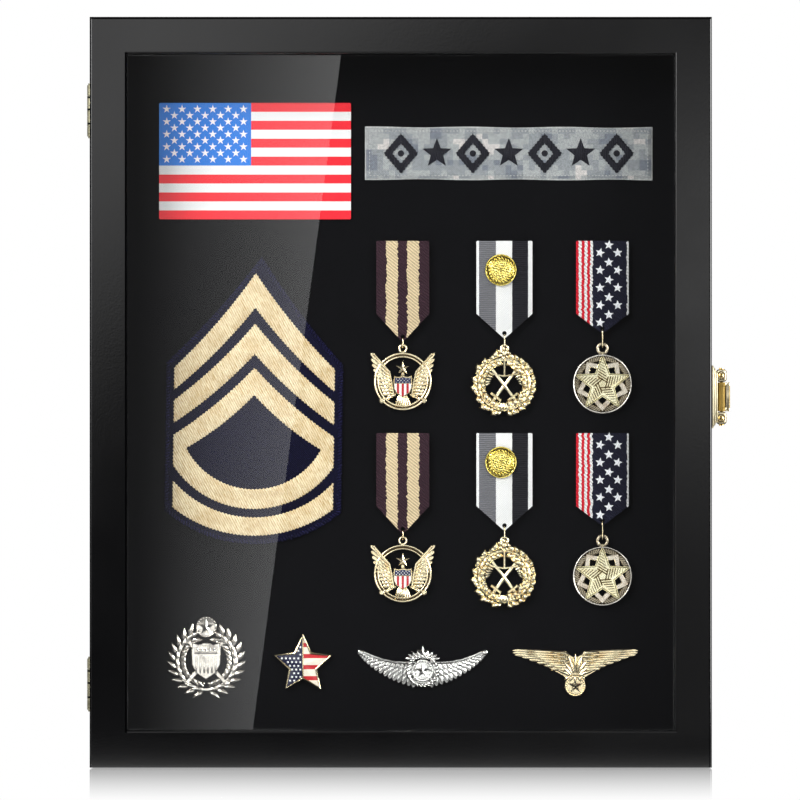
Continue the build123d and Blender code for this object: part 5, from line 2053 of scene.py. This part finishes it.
@dataclass
class WreathBadge(Badge):
    """A laurel wreath round a striped shield, with a star over its opening."""

    radius: float = 14.1
    metal: ClassVar[Finish] = PEWTER

    def build(self) -> None:
        """Makes the badge."""
        r, top = self.radius, 17.0
        spots, berries = [], []
        for side, _, (x, y), lean in garland(11, 140):
            for offset, twist, size, z in ((1.2, -38, 1.0, 0), (-1.4, 34, 0.86, 0), (0.0, -3, 0.9, 0.3)):
                angle = lean + twist if side > 0 else 180 - lean - twist
                spots.append(Spot((r + offset) * x, (r + offset) * y, angle, size, z))
            berries.append(Spot((r - 3.0) * x, (r - 3.0) * y))
        berry = pellet(0.7, 8, [(1, 0), (0.8, 0.5), (0.3, 0.8)])
        self.scatter(leaf(6.4, 2.5, 0.9), spots, 0.9)
        self.scatter(berry, berries, 1.4)
        arc = [(r * math.cos(a), r * math.sin(a), 0.6) for a in (math.radians(d) for d in range(-232, 53, 6))]
        self.put(tube(arc, 1.0), 0.2)
        for side in (-1, 1):
            staff = slab(bar(1.0, -14.5, 12.5, 0.8), 1.2, 0.3)
            tip = mound([(0, 16.8), (-1.9, 12.6), (1.9, 12.6)], [(1, 0), (1, 0.6), (0, 1.2)], (0, 14))
            knob = pellet(1.6, 14, [(1, 0), (1, 0.8), (0.4, 1.5)], -14.8)
            self.put(joined([staff, tip, knob]).turned(side * 42), 0.5 + 0.3 * (side > 0))
        self.put(slab(shield(14.6, 18.4), 1.5, 0.4), 0.9)
        rod = mound(block(1.0, 9.2), [(1, 0), (0.7, 0.4)])
        self.scatter(rod, [Spot(-4.8 + 1.92 * i, -1.7) for i in range(6)], 2.35)
        self.put(plate([[(-5.8, 3.6), (5.8, 3.6), (5.6, 7.6), (0, 8.0), (-5.6, 7.6)]], 0.5, 0.15), 2.3)
        self.scatter(star_boss(0.95, 0.15, 0.4), [Spot(-4 + 2 * i, 5.7) for i in range(5)], 2.75, SILVER)
        self.put(lathe([(5.2, 0), (5.2, 1.0), (4.8, 1.3), (4.3, 1.0), (0, 1.0)], 40).moved(0, top), 0.2)
        self.scatter(berry, [Spot(a, b) for a, b in circle(4.75, 20, 0, top)], 1.2, size=0.8)
        self.put(star_boss(3.9, 0.4, 1.3).moved(0, top), 1.1, SILVER)
        self.finish()


def inside(point: Point, outline: Sequence[Point]) -> bool:
    """Whether a point lies inside an outline.

    Args:
        point: the point.
        outline: the outline.

    Returns:
        Whether it does.
    """
    x, y = point
    sides = zip(outline, [*outline[1:], outline[0]])
    return sum((y0 > y) != (y1 > y) and x < (x1 - x0) * (y - y0) / (y1 - y0) + x0
               for (x0, y0), (x1, y1) in sides) % 2 == 1


@dataclass
class StarPin(Badge):
    """A faceted star, half navy with white dots and half striped, in a gold rim."""

    radius: float = 15.3
    notch: float = 0.47

    def half(self, side: int) -> Shape:
        """The left or right half of the star's raised face, with a ridge down each point.

        Args:
            side: 1 for the right and -1 for the left.

        Returns:
            The shape.
        """
        points = star(self.radius - 1.5, self.notch)
        wedges = []
        for a, b in zip(points, points[1:] + points[:1]):
            if (a[0] + b[0]) * side > 1e-6:
                corners = np.array([(*a, 0.0), (*b, 0.0), (0, 0, 1.0), (*a, -0.4), (*b, -0.4), (0, 0, -0.4)])
                faces = [(0, 1, 2), (3, 5, 4), (0, 3, 4, 1), (1, 4, 5, 2), (2, 5, 3, 0)]
                wedges.append(Shape(corners, faces))
        return joined(wedges)

    def dots(self) -> list[Spot]:
        """Spots of the white dots, which follow the face's slope.

        Returns:
            The spots.
        """
        limit = star(self.radius - 2.9, self.notch)
        places = [(-1.3 - 2.05 * column - 1.0 * (row % 2), 8.6 - 1.85 * row)
                  for row in range(12) for column in range(7)]
        return [Spot(x, y, 15, 1.0, (1 - math.hypot(x, y) / (self.radius - 1.5)) * 0.6)
                for x, y in places if inside((x, y), limit)]

    def build(self) -> None:
        """Makes the pin."""
        r, lift = self.radius, 1.6
        self.put(slab(star(r, self.notch), 1.5, 0.35))
        rim = [(a, b, 0.0) for a, b in star(r - 0.75, self.notch)]
        self.put(tube(rim, 0.72, closed=True, sides=2), lift)
        self.put(self.half(-1), lift, Enamel("navy_enamel", rgb(22, 26, 62)))
        self.put(self.half(1), lift, Enamel("striped_enamel", rgb(206, 34, 44), rgb(250, 240, 224), 5.5,
                                            self.z + 3.15, level=True, split=0.38))
        dot = mound(star(0.72, 0.5), [(1, -0.1), (0.9, 0.5), (0.5, 0.58)])
        self.scatter(dot, self.dots(), lift, WHITE_PRINT)
        self.put(tube([(0, r - 1.4, 0.25), (0, 0, 1.05), (0, -r * 0.42, 0.25)], 0.3), lift)
        self.finish()


@dataclass
class WingsBadge(Badge):
    """Two spread wings of three feather ranks with a round starred boss."""

    arm: tuple[Point, ...] = ((3.0, 3.4), (9.0, 3.3), (14.0, 3.6), (20.0, 4.8), (25.5, 6.8), (29.6, 8.6))
    metal: ClassVar[Finish] = SILVER

    def wing(self) -> Shape:
        """The right wing, whose feathers turn from downwards to outwards along the arm.

        Returns:
            The shape.
        """
        parts, last = [], len(self.arm) - 1
        for count, long, wide, lift in ((15, 12.4, 2.6, 0.0), (14, 8.4, 2.4, 0.35), (13, 4.8, 2.2, 0.6)):
            for t in (number / (count - 1) for number in range(count)):
                x, y = (np.interp(t * last, range(last + 1), axis) for axis in zip(*self.arm))
                blade = feather(long * (1 - 0.78 * t ** 0.95), wide, 0.85)
                parts.append(blade.turned(-82 + 84 * t ** 1.5).moved(x, y - 0.2, lift))
        return joined([*parts, tube([(x, y, 1.0) for x, y in self.arm], 0.75, sides=2)])

    def build(self) -> None:
        """Makes the badge."""
        self.put(self.wing().doubled(), 0.6)
        self.scatter(leaf(3.2, 1.5, 0.7), ring(26, 6.6, 66, -0.6), 1.7)
        back = [(0, -8.2), (5.5, -7.0), (14.0, -2.6), (20.0, 0.6), (26.0, 5.0), (28.0, 7.2), (12.0, 3.4),
                (0, 3.4)]
        self.put(slab(both_sides(back), 0.9, 0.2))
        profile = [(5.6, 0), (5.6, 1.7), (5.2, 2.1), (4.6, 2.1), (4.3, 1.7), (0, 1.8)]
        self.boss(-0.6, profile, (24, 4.95, 0.5), (3.6, 0.3, 1.0))
        leaves = [Spot(0.9 * i, 5.0 + 0.05 * abs(i), 90 - 21 * i) for i in range(-4, 5)]
        self.scatter(leaf(5.2, 2.0, 0.8), leaves, 1.0)
        self.put(star_boss(3.2, 0.4, 1.1).moved(0, 8.6), 1.6)
        self.finish()


@dataclass
class BranchBadge(Badge):
    """Two palm fronds that sweep out from a round starred boss."""

    blades: tuple[tuple[float, ...], ...] = (
        (4.4, 10.6, 27.0, 2.2), (4.2, 9.4, 27.0, 2.4), (4.2, 8.2, 26.0, 2.8), (4.0, 7.0, 22.6, 3.4),
        (4.0, 5.8, 19.0, 3.8), (3.8, 4.6, 15.4, 4.0), (3.4, 3.4, 11.8, 4.0), (3.0, 2.2, 8.8, 3.0))

    def frond(self) -> Shape:
        """The right frond: long blades one over another, and short ones near the middle.

        Returns:
            The shape.
        """
        parts = [feather(length, 1.9, 1.0).turned(turn).moved(x, y, 0.12 * number)
                 for number, (x, y, length, turn) in enumerate(self.blades)]
        short = [Spot(3.0, 10.2 - 1.75 * i, 4 - 3 * i, 1.0, 1.0) for i in range(5)]
        return joined([*parts, REPEATER.spread(leaf(9.5, 1.7, 0.8), short, self.metal)])

    def build(self) -> None:
        """Makes the badge."""
        self.put(self.frond().doubled(), 0.5)
        back = [(0, -5.0), (7, -0.5), (14, 3.4), (21, 6.4), (29.6, 10.4), (29.6, 11.4), (5, 10.6), (0, 8.0)]
        self.put(slab(both_sides(back), 0.8, 0.2))
        profile = [(5.4, 0), (5.4, 1.5), (5.0, 2.0), (4.5, 2.0), (4.2, 1.6), (0, 1.7)]
        self.boss(-5.9, profile, (26, 4.75, 0.48), (3.7, 0.35, 1.1))
        fan = [Spot(0.7 * i, 0.4 - 0.2 * abs(i), 90 - 17 * i, 1 - 0.06 * abs(i), 0.1 * abs(i))
               for i in range(-4, 5)]
        self.scatter(leaf(10.4, 2.3, 0.9), fan, 1.3)
        low = [Spot(1.2 * i, -0.6, 270 + 26 * i, 0.8, 0.2) for i in range(-2, 3)]
        self.scatter(leaf(5.0, 2.0, 0.8), low, 1.2)
        self.finish()


# ---------------------------------------------------------------- studio
@dataclass
class Studio:
    """The floor, the lights, the cards that the glass and metal mirror, and the camera."""

    distance: float = 2000.0
    eye: Point = (-0.37, 180.6)
    view_width: float = 391.7
    sensor: float = 36.0
    front: float = -31.0
    floor_edge: float = -205.0
    reach: float = 4000.0
    aim: float = 184.0
    streak_glow: float = 1.06
    corner_glow: float = 1.5
    side_glow: float = 1.3
    right_glow: float = 0.2
    left_strip: float = 10.0
    metal_glow: float = 1.9
    side_level: float = 11.0
    open_level: float = 0.85
    top_level: float = 0.3
    pane_glow: float = 0.055
    dim: float = 0.35

    def camera(self) -> None:
        """Makes the level camera in front of the case."""
        data = bpy.data.cameras.new("camera")
        data.sensor_width = self.sensor
        data.lens = self.sensor * self.distance / self.view_width
        thing = linked("camera", data)
        thing.location = (self.eye[0] * MM, (self.front - self.distance) * MM, self.eye[1] * MM)
        thing.rotation_euler = (math.radians(90), 0, 0)
        bpy.context.scene.camera = thing

    def sheet(self, name: str, points: Sequence[Place], material: bpy.types.Material) -> bpy.types.Object:
        """A flat face of the studio.

        Args:
            name: its name.
            points: its corners, in millimetres.
            material: its material.

        Returns:
            The object.
        """
        mesh = bpy.data.meshes.new(name)
        mesh.from_pydata([tuple(v * MM for v in p) for p in points], [], [tuple(range(len(points)))])
        mesh.materials.append(material)
        thing = linked(name, mesh)
        return thing

    def floor(self) -> None:
        """Makes the pale glossy floor."""
        paint = Paint("pale_floor")
        path = paint.add("ShaderNodeLightPath")
        grain = paint.noise(60, 2)
        x, y, _ = paint.place()
        far = x.size().most(y.size()).smooth(200.0, 330.0)
        near = ((y + 192.0) / 160.0).most(0.0).least(1.0)
        shine = near ** 1.15 * (1 - far) * (1 - y.smooth(40.0, 150.0)) * 0.62
        mirrored = (1 - near ** 3.0) * path.at("Is Glossy Ray")
        pale = paint.mix(mirrored, (0.9, 0.9, 0.9), (0.06, 0.06, 0.06))
        body = paint.surface(Base_Color=pale, Roughness=grain * 0.04 + 0.3, Specular_IOR_Level=0.0)
        mirror = paint.surface(Base_Color=(1, 1, 1), Metallic=1.0, Roughness=grain * 0.02 + 0.05)
        seen = paint.blend(shine, paint.glow(1.0), mirror)
        r, edge = self.reach, self.floor_edge
        corners = [(-r, edge, 0), (r, edge, 0), (r, r, 0), (-r, r, 0)]
        self.sheet("floor", corners, paint.end(paint.blend(path, body, seen)))

    def world(self) -> None:
        """A white surround for what is seen and mirrored, and a dimmer one for diffuse light."""
        paint = Paint("surround", "worlds")
        path = paint.add("ShaderNodeLightPath")
        seen = path.at("Is Camera Ray").most(path.at("Is Glossy Ray")).most(path.at("Is Transmission Ray"))
        level = paint.add("ShaderNodeMapRange", None, {"Value": seen, "To Min": self.dim, "To Max": 1.0})
        back = paint.add("ShaderNodeBackground", None, {"Color": (1, 1, 1), "Strength": level})
        bpy.context.scene.world = paint.end(back, "World")

    def lamp(self, name: str, spot: Place, size: Point, power: float) -> None:
        """A rectangular soft box that faces the case, from its place, size and power in watts.

        Args:
            name: its name.
            spot: its place, in millimetres.
            size: its width and height.
            power: its power in watts.
        """
        data = bpy.data.lights.new(name, "AREA")
        data.shape, data.energy = "RECTANGLE", power
        data.size, data.size_y = size[0] * MM, size[1] * MM
        thing = linked(name, data)
        thing.location = Vector(spot) * MM
        towards = Vector((0, 0, self.aim * MM)) - thing.location
        thing.rotation_euler = towards.to_track_quat("-Z", "Y").to_euler()

    def card(self, name: str, points: Sequence[Place], material: bpy.types.Material) -> None:
        """A flat card that only glossy rays see.

        Args:
            name: its name.
            points: its corners, in millimetres.
            material: its material.
        """
        thing = self.sheet(name, points, material)
        for rays in ("camera", "diffuse", "shadow", "transmission"):
            setattr(thing, f"visible_{rays}", False)

    def back_card(self) -> None:
        """The dark card behind the camera: a sloping bright patch for the glass, soft ones for the lacquer.

        What lies behind the glass mirrors a pale card in its place, so that the metal there isn't black.
        """
        paint = Paint("studio_card")
        x, _, z = paint.place()
        path = paint.add("ShaderNodeLightPath")
        pane_ray = path.at("Is Singular Ray")
        behind = path.at("Transparent Depth") > 0.5
        edge = x + 61.1 + (521.6 - z) * (87.0 / 665.0)
        streak = ((x + 268.4) / 197.2).most(0.0) ** 1.4 * (edge < 0.0)
        streak = streak * (1.42 - z.smooth(-122.8, 281.7) * 0.42) + (edge < 0.0) * 0.045
        corner = ((z - 281.0) - (x + 295.0) * 0.85).smooth(-170.0, 190.0)
        corner = corner * (1 - z.smooth(600.0, 900.0)) * (1 - (0 - x).smooth(330.0, 600.0))
        side = (1 - (z - 320.0).size().smooth(0.0, 300.0)) * x.smooth(150.0, 300.0)
        side = side * (1 - x.smooth(330.0, 500.0))
        strips = (0 - x).smooth(680.0, 860.0) * z.smooth(0.0, 900.0) * self.left_strip
        lacquer = corner * self.corner_glow + side * self.side_glow + x.smooth(0.0, 280.0) * self.right_glow
        lacquer = lacquer * (1 - x.size().smooth(500.0, 700.0)) + strips * (1 - z.smooth(1300.0, 1600.0))
        metal = paint.noise(260, 1).smooth(0.42, 0.6) * self.metal_glow + 0.3
        level = lacquer + (metal - lacquer) * behind
        level = level + (streak * self.streak_glow + self.pane_glow - level) * pane_ray
        y, r = self.front - self.distance - 120, 2600.0
        corners = [(-r, y, -1400), (r, y, -1400), (r, y, 2400), (-r, y, 2400)]
        self.card("studio_card", corners, paint.end(paint.glow(level)))

    def side_cards(self) -> None:
        """The cards at both sides, one of them with a bright patch."""
        paint = Paint("side_card")
        x, y, z = paint.place()
        bright = (x > 0.0) * (y < -200.0) * (y > -1300.0) * (1 - (z - 180.0).size().smooth(500.0, 700.0))
        path = paint.add("ShaderNodeLightPath")
        outside = (path.at("Transparent Depth") < 0.5) * (1 - path.at("Is Singular Ray"))
        level = bright * self.side_level + paint.noise(200, 1) * 0.04
        level = level + (1 - bright) * outside * self.open_level
        material = paint.end(paint.glow(level))
        for name, x in (("left_card", -1900), ("right_card", 1900)):
            self.card(name, [(x, -1900, -900), (x, 1500, -900), (x, 1500, 1500), (x, -1900, 1500)], material)

    def top_card(self) -> None:
        """The card overhead."""
        paint = Paint("top_card")
        outside = paint.add("ShaderNodeLightPath").at("Transparent Depth") < 0.5
        material = paint.end(paint.glow(paint.noise(260, 1) * 0.05 + outside * self.top_level))
        corners = [(-1900, -1900, 1700), (1900, -1900, 1700), (1900, 1500, 1700), (-1900, 1500, 1700)]
        self.card("top_card", corners, material)

    def build(self) -> None:
        """Sets up the whole studio."""
        self.camera()
        self.floor()
        self.world()
        self.back_card()
        self.side_cards()
        self.top_card()
        self.lamp("key_left", (-1500, -1500, 1300), (1100, 1300), 62)
        self.lamp("fill_right", (1600, -1500, 700), (900, 1200), 24)
        self.lamp("top", (0, -700, 1900), (1400, 700), 14)


def main() -> None:
    """Dresses the whole case, piece by piece."""
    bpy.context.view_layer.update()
    bpy.context.scene.view_settings.view_transform = "Standard"
    for kind in (Studio, Woodwork, SideLatch, FeltGround, FlagCard, NameTape, ChevronPatch):
        kind().build()
    for row in Row:
        for kind in Kind:
            Ribbon(row, kind).build()
        for pendant in (WingedPendant, WreathPendant, StarredPendant):
            pendant(row).build()
    DomedButton().build()
    WreathBadge(-96.904, 50.596, "emblem_badge", "silver_plate", "badge_wreath").build()
    StarPin(-48.691, 48.909, "star_pin", "enamel", "badge_star").build()
    WingsBadge(10.895, 46.396, "wings_badge", "silver_plate", "badge_wings").build()
    BranchBadge(86.908, 44.192, "branch_badge", "gold_plate", "badge_branches").build()


if __name__ == "__main__":
    logging.basicConfig(level=logging.INFO, format="%(message)s")
    main()
